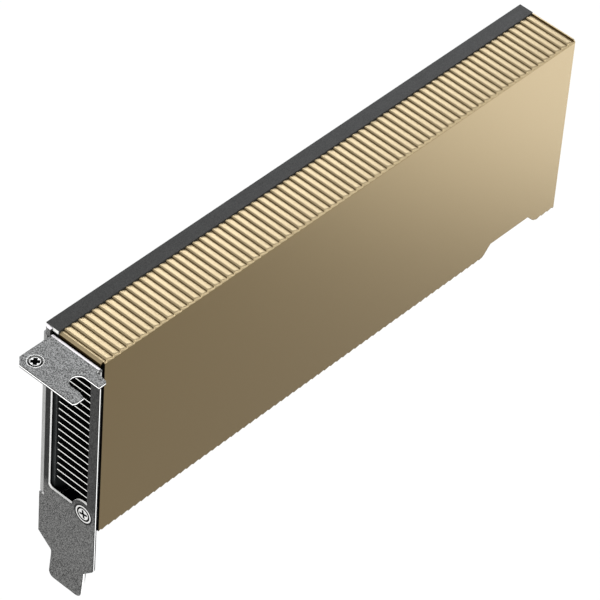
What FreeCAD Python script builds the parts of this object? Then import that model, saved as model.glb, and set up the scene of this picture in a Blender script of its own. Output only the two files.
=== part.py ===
import FreeCAD, Part
import math
import os

V = FreeCAD.Vector

# Card envelope
card_length = 169.65
board_height = 68.90
component_depth = 14.47
board_thickness = 1.57
solder_side_depth = 2.67

# Clearances
fit_gap = 0.10
assembly_gap = 0.30
thread_gap = 0.04
cut_margin = 1.00
embed = 0.30

# Edge connector
key_from_face = 57.15
key_width = 1.90
short_tongue_length = 11.65
long_tongue_length = 71.65
tongue_height = 8.25
tongue_chamfer = 0.60
hook_gap = 2.40
hook_length = 6.40
hook_height = 6.00
hook_slope = 1.00
hook_round = 1.00
key_end_rise = 0.30
contact_pitch = 1.00
contact_width = 0.70
contact_height = 3.90
contact_thickness = 0.05
contact_rise = 0.50
contact_from_key = 0.85
short_contact_count = 11
long_contact_count = 71

# Mounting bracket
bracket_sheet = 0.86
bracket_width = 18.80
bracket_overhang = 0.30
bracket_bend = 0.44
bracket_top_drop = 1.00
plate_shoulder = 69.90
shoulder_rise = 3.80
front_shoulder_drop = 0.80
shoulder_round = 0.80
tail_width = 11.15
tail_offset = 3.10
tail_length = 82.00
tail_lean_start = 75.00
tail_lean = 0.70
tail_corner = 1.80
tab_length = 12.40
tab_overhang = 4.00
tab_back_margin = 3.00
tab_corner = 1.80
tab_front_corner = 0.45
tab_step_inset = 0.66
tab_step_run = 0.66
tab_step_round = 0.50
notch_width = 4.42
notch_from_face = 6.50
notch_depth = 6.70
notch_flare = 0.60
relief_width = 0.70
window_front_margin = 2.70
window_back_margin = 3.10
window_top_drop = 5.00
window_screw_rise = 0.70
window_corner = 1.20
flange_bend = 0.74
flange_reach = 9.50
flange_drop = 55.60
standoff_drops = (14.0, 44.0)
standoff_from_face = 6.00
standoff_radius = 2.30

# Bracket screws
face_screw_inset = 3.80
face_screw_rise = 3.75
face_screw_island = 4.05
face_screw_head = 2.60
face_screw_cone = 0.66
face_screw_shank = 1.25
face_screw_length = 6.50
tab_screw_from_face = 9.00
tab_screw_inset = 12.20
tab_screw_head = 2.20
tab_screw_shank = 1.20
tab_screw_length = 1.90
flat_head_height = 0.62

# Heatsink cover
cover_start = 1.20
cover_wall = 1.30
cover_drop = 0.20
cover_bottom_rise = 3.70
cover_rear_gap = 0.15
cover_edge_margin = 0.30
cover_edge_run = 0.80
rib_count = 75
rib_depth = 0.70
low_rib_depth = 0.40
rib_end_rim = 0.35
rib_backing = 0.90
rib_steps = ((0.00, 0.00), (0.09, 1.00), (0.38, 0.52))
low_rib_steps = ((0.00, 0.00), (0.20, 1.00))
latch_step_end_inset = 7.65
latch_step_length = 20.60
latch_step_rise = 3.60
latch_step_near_run = 2.30
latch_step_far_run = 3.60
cover_post_radius = 1.80
cover_post_low_inset = 3.60
screw_block_length = 8.00
screw_block_half = 3.10

# Fin stack
fin_pitch = 2.315
fin_thickness = 0.45
fin_post_gap = 0.80
fin_tip_gap = 0.10

# Heatsink base
base_start = 14.00
base_thickness = 2.60
base_to_board = 2.37
base_end_margin = 1.50
boss_radius = 2.30

# Graphics package
package_margin = 0.50
substrate_size = 40.00
substrate_thickness = 1.20
die_width = 16.60
die_height = 17.70
die_thickness = 0.80
stiffener_size = 37.00
stiffener_wall = 3.00
stiffener_thickness = 0.60
cold_plate_size = 35.00
cold_plate_thickness = 1.80
paste_thickness = 0.07

# Memory
memory_width = 12.00
memory_height = 14.00
memory_thickness = 1.10
memory_pitch = 16.00
pad_margin = 1.00

# Power section
inductor_size = 7.00
inductor_height = 3.00
inductor_pad_thickness = 0.50
inductor_pitch = 8.20
far_power_inset = 24.65
far_power_drop = 11.00
far_phase_count = 4
near_power_inset = 8.00
near_power_drop = 16.00
near_phase_count = 3
stage_width = 5.00
stage_height = 6.00
stage_thickness = 0.90
stage_offset = 8.50
bulk_width = 4.30
bulk_height = 7.30
bulk_thickness = 1.90
bulk_offset = 16.00

# Small chips
controller_size = 5.00
controller_thickness = 0.90
controller_gap = 0.70
flash_rise = 11.75
flash_width = 5.20
flash_height = 4.00
flash_thickness = 1.40
crystal_width = 2.50
crystal_height = 3.20
crystal_thickness = 0.80
ceramic_length = 1.60
ceramic_width = 0.80
ceramic_thickness = 0.80
ceramic_gap = 1.20
ceramic_row_count = 4
ceramic_row_pitch = 8.00
back_ceramic_column_count = 4
back_ceramic_row_count = 3
back_ceramic_column_pitch = 4.00
back_ceramic_row_pitch = 4.00

# Backplate
backplate_sheet = 1.20
backplate_start = 1.07
backplate_flange = 1.00
backplate_bottom_rise = 0.85
backplate_boss_radius = 2.50
backplate_corner = 1.50

# Board and cover screws
board_screw_head = 1.90
board_screw_shank = 1.00
board_screw_cone = 0.90
package_screw_length = 7.60
cover_screw_length = 13.20
recess_width = 0.50
recess_depth = 0.45
recess_share = 0.60
package_screw_drop = 9.00
package_screw_rise = 2.80
near_post_inset = 6.00
far_post_inset = 3.00

# Depths from the cover's front face
board_front = component_depth
board_back = board_front + board_thickness
card_back = board_back + solder_side_depth
backplate_inner = card_back - backplate_sheet
base_back = board_front - base_to_board
base_front = base_back - base_thickness

# Drops below the top of the card
board_top = -(backplate_flange + fit_gap)
contact_edge = board_top - board_height
board_bottom = contact_edge + tongue_height
rib_crest = -cover_drop
rib_valley = rib_crest - rib_depth
cover_ceiling = rib_valley - rib_backing
cover_base = board_bottom + cover_bottom_rise
cover_base_valley = cover_base + low_rib_depth
cover_floor = cover_base_valley + rib_backing
step_ceiling = cover_base + latch_step_rise + rib_backing
face_screw_z = cover_floor + face_screw_rise
window_bottom = face_screw_z + window_screw_rise
cover_post_inset = boss_radius * math.sin(math.radians(60)) + fit_gap
top_fin = cover_ceiling - cover_post_inset - cover_post_radius - fin_post_gap - fin_thickness / 2

# Positions along the card
cover_length = card_length - cover_start
rib_pitch = (cover_length - rib_end_rim) / rib_count
key_start = key_from_face - key_width / 2
key_end = key_from_face + key_width / 2
tongue_start = key_start - short_tongue_length
tongue_end = key_end + long_tongue_length
base_end = card_length - base_end_margin
latch_step_end = card_length - latch_step_end_inset
latch_step_start = latch_step_end - latch_step_length
far_power_x = card_length - far_power_inset
near_power_x = base_start + near_power_inset
far_stage_x = far_power_x + stage_offset
far_bulk_x = far_power_x + bulk_offset
near_stage_x = near_power_x + stage_offset
near_bulk_x = near_power_x + bulk_offset

# Package and memory, in the middle of what the power columns and the cover leave
package_x = (near_bulk_x + bulk_width / 2 + far_power_x - inductor_size / 2) / 2
package_z = (cover_ceiling + cover_floor) / 2
package_screw_half = substrate_size / 2 + package_margin + boss_radius
memory_offset = package_screw_half + boss_radius + package_margin + memory_width / 2

# Bracket edges in the depth direction
plate_front = -bracket_overhang
plate_back = plate_front + bracket_width
tab_front = plate_front - tab_overhang
tab_back = plate_back - tab_back_margin
tail_front = plate_front + tail_offset
tail_back = tail_front + tail_width
face_screw_depth = plate_front + face_screw_inset

# Places of the posts and screws, as distance along the card and height below its top
package_screw_low = cover_floor + package_screw_rise
package_screw_places = [
    (package_x - package_screw_half, -package_screw_drop),
    (package_x + package_screw_half, -package_screw_drop),
    (package_x - package_screw_half, package_screw_low),
    (package_x + package_screw_half, package_screw_low),
]
cover_post_places = [
    (base_start + near_post_inset, cover_ceiling - cover_post_inset),
    (base_end - far_post_inset, cover_floor + cover_post_low_inset),
]


def box(x0, x1, y0, y1, z0, z1):
    """Block between two corners."""
    return Part.makeBox(x1 - x0, y1 - y0, z1 - z0, V(x0, y0, z0))


def block_at(x, z, width, height, y0, y1):
    """Block centred on a place of the board, between two depths."""
    return box(x - width / 2, x + width / 2, y0, y1, z - height / 2, z + height / 2)


def peg(x, z, radius, y0, y1):
    """Round peg through the depth of the card."""
    return Part.makeCylinder(radius, y1 - y0, V(x, y0, z), V(0, 1, 0))


def hex_post(x, z, radius, y0, y1):
    """Hexagonal post through the depth of the card, with a corner radius."""
    corners = []
    for i in range(6):
        angle = math.radians(60 * i)
        corners.append(V(x + radius * math.cos(angle), y0, z + radius * math.sin(angle)))
    return prism(corners, V(0, y1 - y0, 0))


def prism(points, direction):
    """Straight-sided solid from a closed outline and an extrusion vector."""
    closed = points + [points[0]]
    return Part.Face(Part.makePolygon(closed)).extrude(direction)


def rounded_prism(corners, place, direction):
    """Prism from corners (u, v, radius), where place turns u and v into a point."""
    edges = []
    count = len(corners)
    ends = []
    for i in range(count):
        u, v, radius = corners[i]
        here = place(u, v)
        before = place(*corners[i - 1][:2])
        after = place(*corners[(i + 1) % count][:2])
        if radius <= 0:
            ends.append((here, None, here))
            continue
        to_before = (before - here).normalize()
        to_after = (after - here).normalize()
        half_angle = to_before.getAngle(to_after) / 2
        run = radius / math.tan(half_angle)
        bisector = (to_before + to_after).normalize()
        centre = here + bisector * (radius / math.sin(half_angle))
        ends.append((here + to_before * run, centre - bisector * radius, here + to_after * run))
    for i in range(count):
        start, middle, finish = ends[i]
        if middle is not None:
            edges.append(Part.Arc(start, middle, finish).toShape())
        following = ends[(i + 1) % count][0]
        if finish.distanceToPoint(following) > 1e-6:
            edges.append(Part.makeLine(finish, following))
    return Part.Face(Part.Wire(edges)).extrude(direction)


def depth_profile(x, corners):
    """Rounded plate outline in depth and height, one sheet thick, starting at x."""
    return rounded_prism(corners, lambda y, z: V(x, y, z), V(bracket_sheet, 0, 0))


def cross_recess(half_length, face, inward):
    """Two crossed slots for a screwdriver, cut at a height along the screw's axis."""
    low = min(face, face + inward * recess_depth)
    slots = []
    for length, width in ((half_length, recess_width / 2), (recess_width / 2, half_length)):
        slots.append(Part.makeBox(2 * length, 2 * width, recess_depth, V(-length, -width, low)))
    return slots[0].fuse(slots[1])


def flat_screw(head, shank, length, cone):
    """Countersunk screw with its flat face at the origin and its shank towards -Z."""
    top = Part.makeCone(shank, head, cone, V(0, 0, -cone))
    stem = Part.makeCylinder(shank, length - cone, V(0, 0, -length))
    return top.fuse(stem).removeSplitter()


def turned(shape, direction, position):
    """Copy of a screw with its head facing a direction and its origin at a position."""
    placed = shape.copy()
    rotation = FreeCAD.Rotation(V(0, 0, 1), direction)
    placed.Placement = FreeCAD.Placement(position, rotation)
    return placed


def countersink(head, shank, cone, depth):
    """Hole for a countersunk screw through a given depth, its mouth at the origin."""
    top = Part.makeCone(shank, head, cone, V(0, 0, -cone))
    stem = Part.makeCylinder(shank, depth + cut_margin, V(0, 0, -depth - cut_margin))
    return top.fuse(stem).removeSplitter()


def plate_outline():
    """Bracket plate from above the window down to the shoulders."""
    top = -bracket_top_drop - bracket_sheet - bracket_bend
    bend_line = plate_back - bracket_sheet - flange_bend
    shoulder_end = -plate_shoulder - shoulder_rise
    corners = [
        (plate_front, top, 0),
        (tab_back + relief_width, top, 0),
        (tab_back + relief_width, 0, 0),
        (bend_line, 0, 0),
        (bend_line, -flange_drop - relief_width, 0),
        (plate_back, -flange_drop - relief_width, 0),
        (plate_back, -plate_shoulder, 0),
        (tail_back, shoulder_end, shoulder_round),
        (tail_back, -tail_lean_start, 0),
        (tail_front, -tail_lean_start, 0),
        (tail_front, shoulder_end, shoulder_round),
        (plate_front, -plate_shoulder - front_shoulder_drop, shoulder_round),
    ]
    return depth_profile(0, corners)


def plate_window():
    """Vent opening, leaving an island around the face screw."""
    corners = [
        (plate_front + window_front_margin, -window_top_drop, window_corner),
        (plate_back - window_back_margin, -window_top_drop, window_corner),
        (plate_back - window_back_margin, window_bottom, window_corner),
        (plate_front + window_front_margin, window_bottom, 0),
    ]
    opening = depth_profile(0, corners)
    centre = V(-cut_margin, face_screw_depth, face_screw_z)
    island = Part.makeCylinder(face_screw_island, bracket_sheet + 2 * cut_margin, centre, V(1, 0, 0))
    return opening.cut(island)


def plate_tail():
    """Tongue below the shoulders, leaning outwards a little."""
    corners = [
        (tail_front, -tail_lean_start, 0),
        (tail_back, -tail_lean_start, 0),
        (tail_back, -tail_length, tail_corner),
        (tail_front, -tail_length, tail_corner),
    ]
    reach = V(2 * bracket_sheet + 2 * tail_lean, 0, 0)
    outline = rounded_prism(corners, lambda y, z: V(-2 * tail_lean, y, z), reach)
    lean = [
        V(0, tail_front - cut_margin, -tail_lean_start),
        V(bracket_sheet, tail_front - cut_margin, -tail_lean_start),
        V(bracket_sheet - tail_lean, tail_front - cut_margin, -tail_length),
        V(-tail_lean, tail_front - cut_margin, -tail_length),
    ]
    return outline.common(prism(lean, V(0, tail_width + 2 * cut_margin, 0)))


def quarter_bend(inner, centre, axis_length, first, second, along):
    """Quarter of a tube wall one sheet thick, from one leg direction to the other."""
    outer = inner + bracket_sheet
    middle = (first + second).normalize()
    arcs = [
        Part.Arc(centre + first * outer, centre + middle * outer, centre + second * outer).toShape(),
        Part.makeLine(centre + second * outer, centre + second * inner),
        Part.Arc(centre + second * inner, centre + middle * inner, centre + first * inner).toShape(),
        Part.makeLine(centre + first * inner, centre + first * outer),
    ]
    return Part.Face(Part.Wire(arcs)).extrude(along * axis_length)


def bracket_tab():
    """Folded screw tab with its open notch, ear and clipped corners."""
    top = -bracket_top_drop
    bend_line = -bracket_bend
    step_line = bend_line - tab_step_inset
    corners = [
        (bend_line, plate_front, 0),
        (bend_line, tab_back, 0),
        (-tab_length + tab_corner, tab_back, 0),
        (-tab_length, tab_back - tab_corner, 0),
        (-tab_length, tab_front + tab_front_corner, 0),
        (-tab_length + 2 * tab_front_corner, tab_front, 0),
        (step_line - tab_step_run, tab_front, tab_step_round),
        (step_line, plate_front, 0),
    ]
    sheet = rounded_prism(corners, lambda x, y: V(x, y, top - bracket_sheet), V(0, 0, bracket_sheet))
    return sheet.cut(tab_notch())


def tab_notch():
    """Open notch for the chassis screw, flared at its mouth."""
    low = -bracket_top_drop - 2 * bracket_sheet
    tall = 3 * bracket_sheet
    half = notch_width / 2
    end = tab_front + notch_depth - half
    slot = box(-notch_from_face - half, -notch_from_face + half, tab_front - cut_margin, end, low, low + tall)
    round_end = Part.makeCylinder(half, tall, V(-notch_from_face, end, low))
    mouth = [
        V(-notch_from_face - half, tab_front + 3 * notch_flare, low),
        V(-notch_from_face - half - notch_flare, tab_front - fit_gap, low),
        V(-notch_from_face, tab_front - fit_gap, low),
    ]
    return slot.fuse([round_end, prism(mouth, V(0, 0, tall))])


def bracket_flange():
    """Side flange folded back along the card."""
    bend_centre_x = flange_bend + bracket_sheet
    bend_centre_y = plate_back - bend_centre_x
    start = V(bend_centre_x, bend_centre_y, -flange_drop)
    bend = quarter_bend(flange_bend, start, flange_drop, V(-1, 0, 0), V(0, 1, 0), V(0, 0, 1))
    top = -(backplate_flange + 2 * fit_gap)
    overlap = box(bracket_sheet + fit_gap, bend_centre_x + cut_margin,
                  bend_centre_y - cut_margin, plate_back + cut_margin, top, cut_margin)
    leg = box(bend_centre_x, flange_reach, plate_back - bracket_sheet, plate_back, -flange_drop, top)
    return bend.cut(overlap).fuse(leg)


def make_bracket():
    """One folded sheet: plate, tail, tab and side flange."""
    bend_top = -bracket_top_drop - bracket_sheet - bracket_bend
    tab_width = tab_back - plate_front
    bend_start = V(-bracket_bend, plate_front, bend_top)
    tab_bend = quarter_bend(bracket_bend, bend_start, tab_width, V(1, 0, 0), V(0, 0, 1), V(0, 1, 0))
    sheet = plate_outline().cut(plate_window())
    sheet = sheet.fuse([plate_tail(), tab_bend, bracket_tab(), bracket_flange()])
    sheet = sheet.removeSplitter()
    face_mouth = V(0, face_screw_depth, face_screw_z)
    face_hole = countersink(face_screw_head, face_screw_shank + fit_gap, face_screw_cone, bracket_sheet)
    tab_hole = countersink(tab_screw_head, tab_screw_shank + thread_gap, flat_head_height, bracket_sheet)
    tab_mouth = V(-tab_screw_from_face, plate_front + tab_screw_inset, -bracket_top_drop)
    return sheet.cut([turned(face_hole, V(-1, 0, 0), face_mouth),
                      turned(tab_hole, V(0, 0, 1), tab_mouth)])


def make_face_screw():
    """Countersunk screw that joins the bracket to the cover's screw block."""
    screw = flat_screw(face_screw_head, face_screw_shank, face_screw_length, face_screw_cone)
    screw = screw.cut(cross_recess(face_screw_head * recess_share, 0, -1))
    return turned(screw, V(-1, 0, 0), V(0, face_screw_depth, face_screw_z))


def make_tab_screw():
    """Countersunk screw threaded through the tab."""
    screw = flat_screw(tab_screw_head, tab_screw_shank, tab_screw_length, flat_head_height)
    screw = screw.cut(cross_recess(tab_screw_head * recess_share, 0, -1))
    place = V(-tab_screw_from_face, plate_front + tab_screw_inset, -bracket_top_drop)
    return turned(screw, V(0, 0, 1), place)


def make_flange_standoffs():
    """Spacers between the board and the bracket's flange."""
    seat = plate_back - bracket_sheet
    standoffs = []
    for drop in standoff_drops:
        standoffs.append(hex_post(standoff_from_face, -drop, standoff_radius, board_back, seat))
    return Part.makeCompound(standoffs)


def rib_outline(steps, crest, valley, floor):
    """Rib line along the card from steps (share of the pitch, share of the rise)."""
    points = []
    for i in range(rib_count):
        start = cover_start + i * rib_pitch
        for along, up in steps:
            points.append((start + rib_pitch * along, valley + (crest - valley) * up))
    rim_start = card_length - rib_end_rim
    points.append((rim_start, valley))
    points.append((rim_start, crest))
    points.append((card_length, crest))
    points.append((card_length, floor))
    points.append((cover_start, floor))
    return [V(x, 0, z) for x, z in points]


def latch_step(extra):
    """Wedge-ended cut that clears the slot's latch, grown inwards by a wall."""
    low = cover_base - cut_margin
    top = cover_base + latch_step_rise + extra
    slope_near = latch_step_near_run / latch_step_rise
    slope_far = latch_step_far_run / latch_step_rise
    outline = [
        V(latch_step_start - extra - slope_near * cut_margin, -cut_margin, low),
        V(latch_step_start - extra + slope_near * (top - cover_base), -cut_margin, top),
        V(latch_step_end + extra - slope_far * (top - cover_base), -cut_margin, top),
        V(latch_step_end + extra + slope_far * cut_margin, -cut_margin, low),
    ]
    return prism(outline, V(0, board_front + 2 * cut_margin, 0))


def edge_bevel():
    """Wedge that bevels the front ends of the upper ribs."""
    low = rib_valley - cover_edge_margin
    slope = cover_edge_run / (rib_crest - low)
    outline = [
        V(0, -slope * cut_margin, low - cut_margin),
        V(0, cover_edge_run + slope * cut_margin, cut_margin + rib_crest),
        V(0, -slope * cut_margin, cut_margin + rib_crest),
    ]
    return prism(outline, V(card_length + cut_margin, 0, 0))


def make_cover():
    """Ribbed shell over the fins, with its posts and the bracket's screw block."""
    rear = V(0, board_front - cover_rear_gap, 0)
    top_wall = prism(rib_outline(rib_steps, rib_crest, rib_valley, cover_ceiling), rear)
    low_wall = prism(rib_outline(low_rib_steps, cover_base, cover_base_valley, cover_floor), rear)
    front = box(cover_start, card_length, 0, cover_wall, cover_floor, cover_ceiling)
    shell = top_wall.fuse([low_wall, front])
    shell = shell.cut([latch_step(0), edge_bevel()])
    roof = latch_step(rib_backing).cut(latch_step(0))
    slab = box(cover_start, card_length, cover_wall / 2, rear.y, cover_base_valley, step_ceiling)
    shell = shell.fuse(roof.common(slab))
    additions = [screw_block()]
    for x, z in cover_post_places:
        additions.append(hex_post(x, z, cover_post_radius, cover_wall / 2, base_front))
    shell = shell.fuse(additions).removeSplitter()
    for x, z in cover_post_places:
        start = card_back - cover_screw_length - fit_gap
        shell = shell.cut(peg(x, z, board_screw_shank + thread_gap, start, base_front + cut_margin))
    mouth = V(0, face_screw_depth, face_screw_z)
    bore = Part.makeCylinder(face_screw_shank + thread_gap, face_screw_length + fit_gap, mouth, V(1, 0, 0))
    return shell.cut(bore)


def screw_block():
    """Block in the cover's lower near corner that takes the bracket's face screw."""
    top = face_screw_z + screw_block_half
    back = face_screw_depth + screw_block_half
    return box(bracket_sheet, bracket_sheet + screw_block_length, cover_wall / 2, back, cover_floor, top)


def make_fins():
    """Parallel air fins, deeper in front of the base where the board is bare."""
    front = cover_wall + fin_tip_gap
    deep = board_front - 2 * assembly_gap
    near = cover_start + fit_gap
    far = base_end
    outline = [
        V(near, front, 0),
        V(far, front, 0),
        V(far, base_front, 0),
        V(base_start - assembly_gap, base_front, 0),
        V(base_start - assembly_gap, deep, 0),
        V(near, deep, 0),
    ]
    block_top = face_screw_z + screw_block_half
    count = fins_between(top_fin, block_top)
    fins = []
    for i in range(count):
        fin = prism(outline, V(0, 0, fin_thickness))
        fin.translate(V(0, 0, top_fin - i * fin_pitch - fin_thickness / 2))
        fins.append(fin)
    return Part.makeCompound(fins + low_fins(front, top_fin - count * fin_pitch))


def fins_between(first, floor):
    """Number of fins that fit from a first fin's height down to a floor."""
    room = first - fin_thickness / 2 - floor - assembly_gap
    return max(0, math.floor(room / fin_pitch) + 1)


def low_fins(front, first):
    """Shorter fins between the screw block and the latch step, cleared round the posts."""
    near = max(base_start, bracket_sheet + screw_block_length + assembly_gap)
    far = latch_step_start - latch_step_near_run - rib_backing - assembly_gap
    posts = []
    for x, z in cover_post_places:
        posts.append(peg(x, z, cover_post_radius + fit_gap, 0, base_front))
    fins = []
    for i in range(fins_between(first, cover_floor)):
        z = first - i * fin_pitch
        fin = box(near, far, front, base_front, z - fin_thickness / 2, z + fin_thickness / 2)
        fins.append(fin.cut(posts))
    return fins


def power_places(x, drop, phases):
    """Places of one column of the power section."""
    return [(x, -drop - i * inductor_pitch) for i in range(phases)]


def all_power_places(far_x, near_x):
    """Places of a part in every phase of both columns."""
    far = power_places(far_x, far_power_drop, far_phase_count)
    return far + power_places(near_x, near_power_drop, near_phase_count)


def memory_places():
    """Three chips on each side of the graphics package."""
    places = []
    for side in (-1, 1):
        for row in (-1, 0, 1):
            places.append((package_x + side * memory_offset, package_z + row * memory_pitch))
    return places


def make_base():
    """Metal plate that carries the fins and reaches the chips."""
    plate = box(base_start, base_end, base_front, base_back, cover_floor, cover_ceiling)
    plate = plate.cut(latch_step(rib_backing))
    bosses = []
    for x, z in package_screw_places + cover_post_places:
        bosses.append(hex_post(x, z, boss_radius, base_back - embed, board_front))
    plate = plate.fuse(bosses).removeSplitter()
    cuts = []
    for x, z in package_screw_places:
        hole_floor = card_back - package_screw_length - fit_gap
        cuts.append(peg(x, z, board_screw_shank + thread_gap, hole_floor, board_front + cut_margin))
    for x, z in cover_post_places:
        radius = board_screw_shank + fit_gap
        cuts.append(peg(x, z, radius, base_front - cut_margin, board_front + cut_margin))
    pocket = base_back - (inductor_height + inductor_pad_thickness - base_to_board)
    wide = inductor_size + 2 * assembly_gap
    for x, z in all_power_places(far_power_x, near_power_x):
        cuts.append(block_at(x, z, wide, wide, pocket, base_back + cut_margin))
    inlay = cold_plate_back() - cold_plate_thickness
    size = cold_plate_size
    cuts.append(block_at(package_x, package_z, size, size, inlay, base_back + cut_margin))
    return plate.cut(cuts)


def cold_plate_back():
    """Depth of the cold plate's contact face."""
    return board_front - substrate_thickness - die_thickness - paste_thickness


def make_cold_plate():
    """Copper plate set into the base over the die."""
    back = cold_plate_back()
    front = back - cold_plate_thickness
    return block_at(package_x, package_z, cold_plate_size, cold_plate_size, front, back)


def make_board():
    """Circuit board with its keyed tongue, retention hook and holes."""
    start = cover_start + fit_gap
    end = card_length - 2 * assembly_gap
    hook_start = tongue_end + hook_gap
    corners = [
        (start, board_top, 0),
        (end, board_top, 0),
        (end, board_bottom, 0),
        (hook_start + hook_length + hook_slope, board_bottom, 0),
        (hook_start + hook_length, board_bottom - hook_height, hook_round),
        (hook_start, board_bottom - hook_height, 0),
        (hook_start, board_bottom, 0),
        (tongue_end, board_bottom, 0),
        (tongue_end, contact_edge + tongue_chamfer, 0),
        (tongue_end - tongue_chamfer, contact_edge, 0),
        (key_end, contact_edge, 0),
        (key_end, board_bottom - key_end_rise, 0),
        (key_start, board_bottom - key_end_rise, 0),
        (key_start, contact_edge, 0),
        (tongue_start + tongue_chamfer, contact_edge, 0),
        (tongue_start, contact_edge + tongue_chamfer, 0),
        (tongue_start, board_bottom, 0),
        (start, board_bottom, 0),
    ]
    sheet = rounded_prism(corners, lambda x, z: V(x, board_front, z), V(0, board_thickness, 0))
    holes = []
    for x, z in package_screw_places + cover_post_places:
        holes.append(peg(x, z, board_screw_shank + fit_gap,
                         board_front - cut_margin, board_back + cut_margin))
    return sheet.cut(holes)


def make_contacts(front_side):
    """Row of gold pads on one side of the tongue."""
    face = board_front - contact_thickness if front_side else board_back
    low = contact_edge + contact_rise
    pads = []
    near_row = (short_contact_count, key_start - contact_from_key, -contact_pitch)
    far_row = (long_contact_count, key_end + contact_from_key, contact_pitch)
    for count, first, step in (near_row, far_row):
        for i in range(count):
            x = first + i * step
            pads.append(box(x - contact_width / 2, x + contact_width / 2,
                            face, face + contact_thickness, low, low + contact_height))
    return Part.makeCompound(pads)


def make_substrate():
    """Package substrate on the board."""
    size = substrate_size
    return block_at(package_x, package_z, size, size, board_front - substrate_thickness, board_front)


def make_stiffener():
    """Square metal frame on the rim of the substrate."""
    back = board_front - substrate_thickness
    front = back - stiffener_thickness
    size = stiffener_size
    hole = stiffener_size - 2 * stiffener_wall
    ring = block_at(package_x, package_z, size, size, front, back)
    return ring.cut(block_at(package_x, package_z, hole, hole, front - cut_margin, back + cut_margin))


def make_die():
    """Bare silicon die in the middle of the substrate."""
    back = board_front - substrate_thickness
    return block_at(package_x, package_z, die_width, die_height, back - die_thickness, back)


def make_paste():
    """Thin layer between the die and the cold plate."""
    back = board_front - substrate_thickness - die_thickness
    return block_at(package_x, package_z, die_width, die_height, back - paste_thickness, back)


def make_blocks(places, width, height, y0, y1):
    """Equal blocks at several places of the board."""
    return Part.makeCompound([block_at(x, z, width, height, y0, y1) for x, z in places])


def make_front_memory():
    """Memory chips under the base."""
    return make_blocks(memory_places(), memory_width, memory_height,
                       board_front - memory_thickness, board_front)


def make_front_memory_pads():
    """Soft pads from the front memory chips to the base."""
    width = memory_width - pad_margin
    height = memory_height - pad_margin
    return make_blocks(memory_places(), width, height, base_back, board_front - memory_thickness)


def make_back_memory():
    """Memory chips under the backplate."""
    return make_blocks(memory_places(), memory_width, memory_height,
                       board_back, board_back + memory_thickness)


def make_back_memory_pads():
    """Soft pads from the back memory chips to the backplate."""
    width = memory_width - pad_margin
    height = memory_height - pad_margin
    return make_blocks(memory_places(), width, height, board_back + memory_thickness, backplate_inner)


def make_inductors():
    """Power inductors in the base's pockets."""
    places = all_power_places(far_power_x, near_power_x)
    return make_blocks(places, inductor_size, inductor_size, board_front - inductor_height, board_front)


def make_inductor_pads():
    """Soft pads between the inductors and the pocket floors."""
    back = board_front - inductor_height
    places = all_power_places(far_power_x, near_power_x)
    size = inductor_size - pad_margin
    return make_blocks(places, size, size, back - inductor_pad_thickness, back)


def make_stages():
    """Switching chips beside the inductors."""
    places = all_power_places(far_stage_x, near_stage_x)
    return make_blocks(places, stage_width, stage_height, board_front - stage_thickness, board_front)


def make_stage_pads():
    """Soft pads between the switching chips and the base."""
    places = all_power_places(far_stage_x, near_stage_x)
    return make_blocks(places, stage_width, stage_height, base_back, board_front - stage_thickness)


def make_bulk_capacitors():
    """Polymer capacitors at the outputs of the power section."""
    places = all_power_places(far_bulk_x, near_bulk_x)
    return make_blocks(places, bulk_width, bulk_height, board_front - bulk_thickness, board_front)


def ceramic_places():
    """Small capacitors in rows above and below the package and beside each phase."""
    places = []
    aside = substrate_size / 2 + ceramic_gap + ceramic_width / 2
    for i in range(ceramic_row_count):
        x = package_x + (i - (ceramic_row_count - 1) / 2) * ceramic_row_pitch
        places.append((x, package_z + aside))
        places.append((x, package_z - aside))
    for x, z in all_power_places(far_stage_x, near_stage_x):
        places.append((x, z - inductor_pitch / 2))
    return places


def back_ceramic_places():
    """Decoupling capacitors behind the die."""
    places = []
    for row in range(back_ceramic_row_count):
        z = package_z + (row - (back_ceramic_row_count - 1) / 2) * back_ceramic_row_pitch
        for column in range(back_ceramic_column_count):
            aside = (column - (back_ceramic_column_count - 1) / 2) * back_ceramic_column_pitch
            places.append((package_x + aside, z))
    return places


def make_front_ceramics():
    """Ceramic capacitors on the component side."""
    return make_blocks(ceramic_places(), ceramic_length, ceramic_width,
                       board_front - ceramic_thickness, board_front)


def make_back_ceramics():
    """Ceramic capacitors on the solder side."""
    return make_blocks(back_ceramic_places(), ceramic_length, ceramic_width,
                       board_back, board_back + ceramic_thickness)


def make_controllers():
    """Two voltage controllers, one below each power column."""
    aside = inductor_size / 2 + controller_gap + controller_size / 2
    places = []
    for column in (power_places(far_power_x, far_power_drop, far_phase_count),
                   power_places(near_power_x, near_power_drop, near_phase_count)):
        x, lowest = column[-1]
        places.append((x, lowest - aside))
    return make_blocks(places, controller_size, controller_size,
                       board_front - controller_thickness, board_front)


def make_flash():
    """Firmware memory chip on the solder side."""
    return block_at(near_stage_x, board_bottom + flash_rise, flash_width, flash_height,
                    board_back, board_back + flash_thickness)


def make_crystal():
    """Clock crystal near the package."""
    x = package_x + (substrate_size / 2 + memory_offset - memory_width / 2) / 2
    return block_at(x, package_z, crystal_width, crystal_height,
                    board_front - crystal_thickness, board_front)


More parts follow.
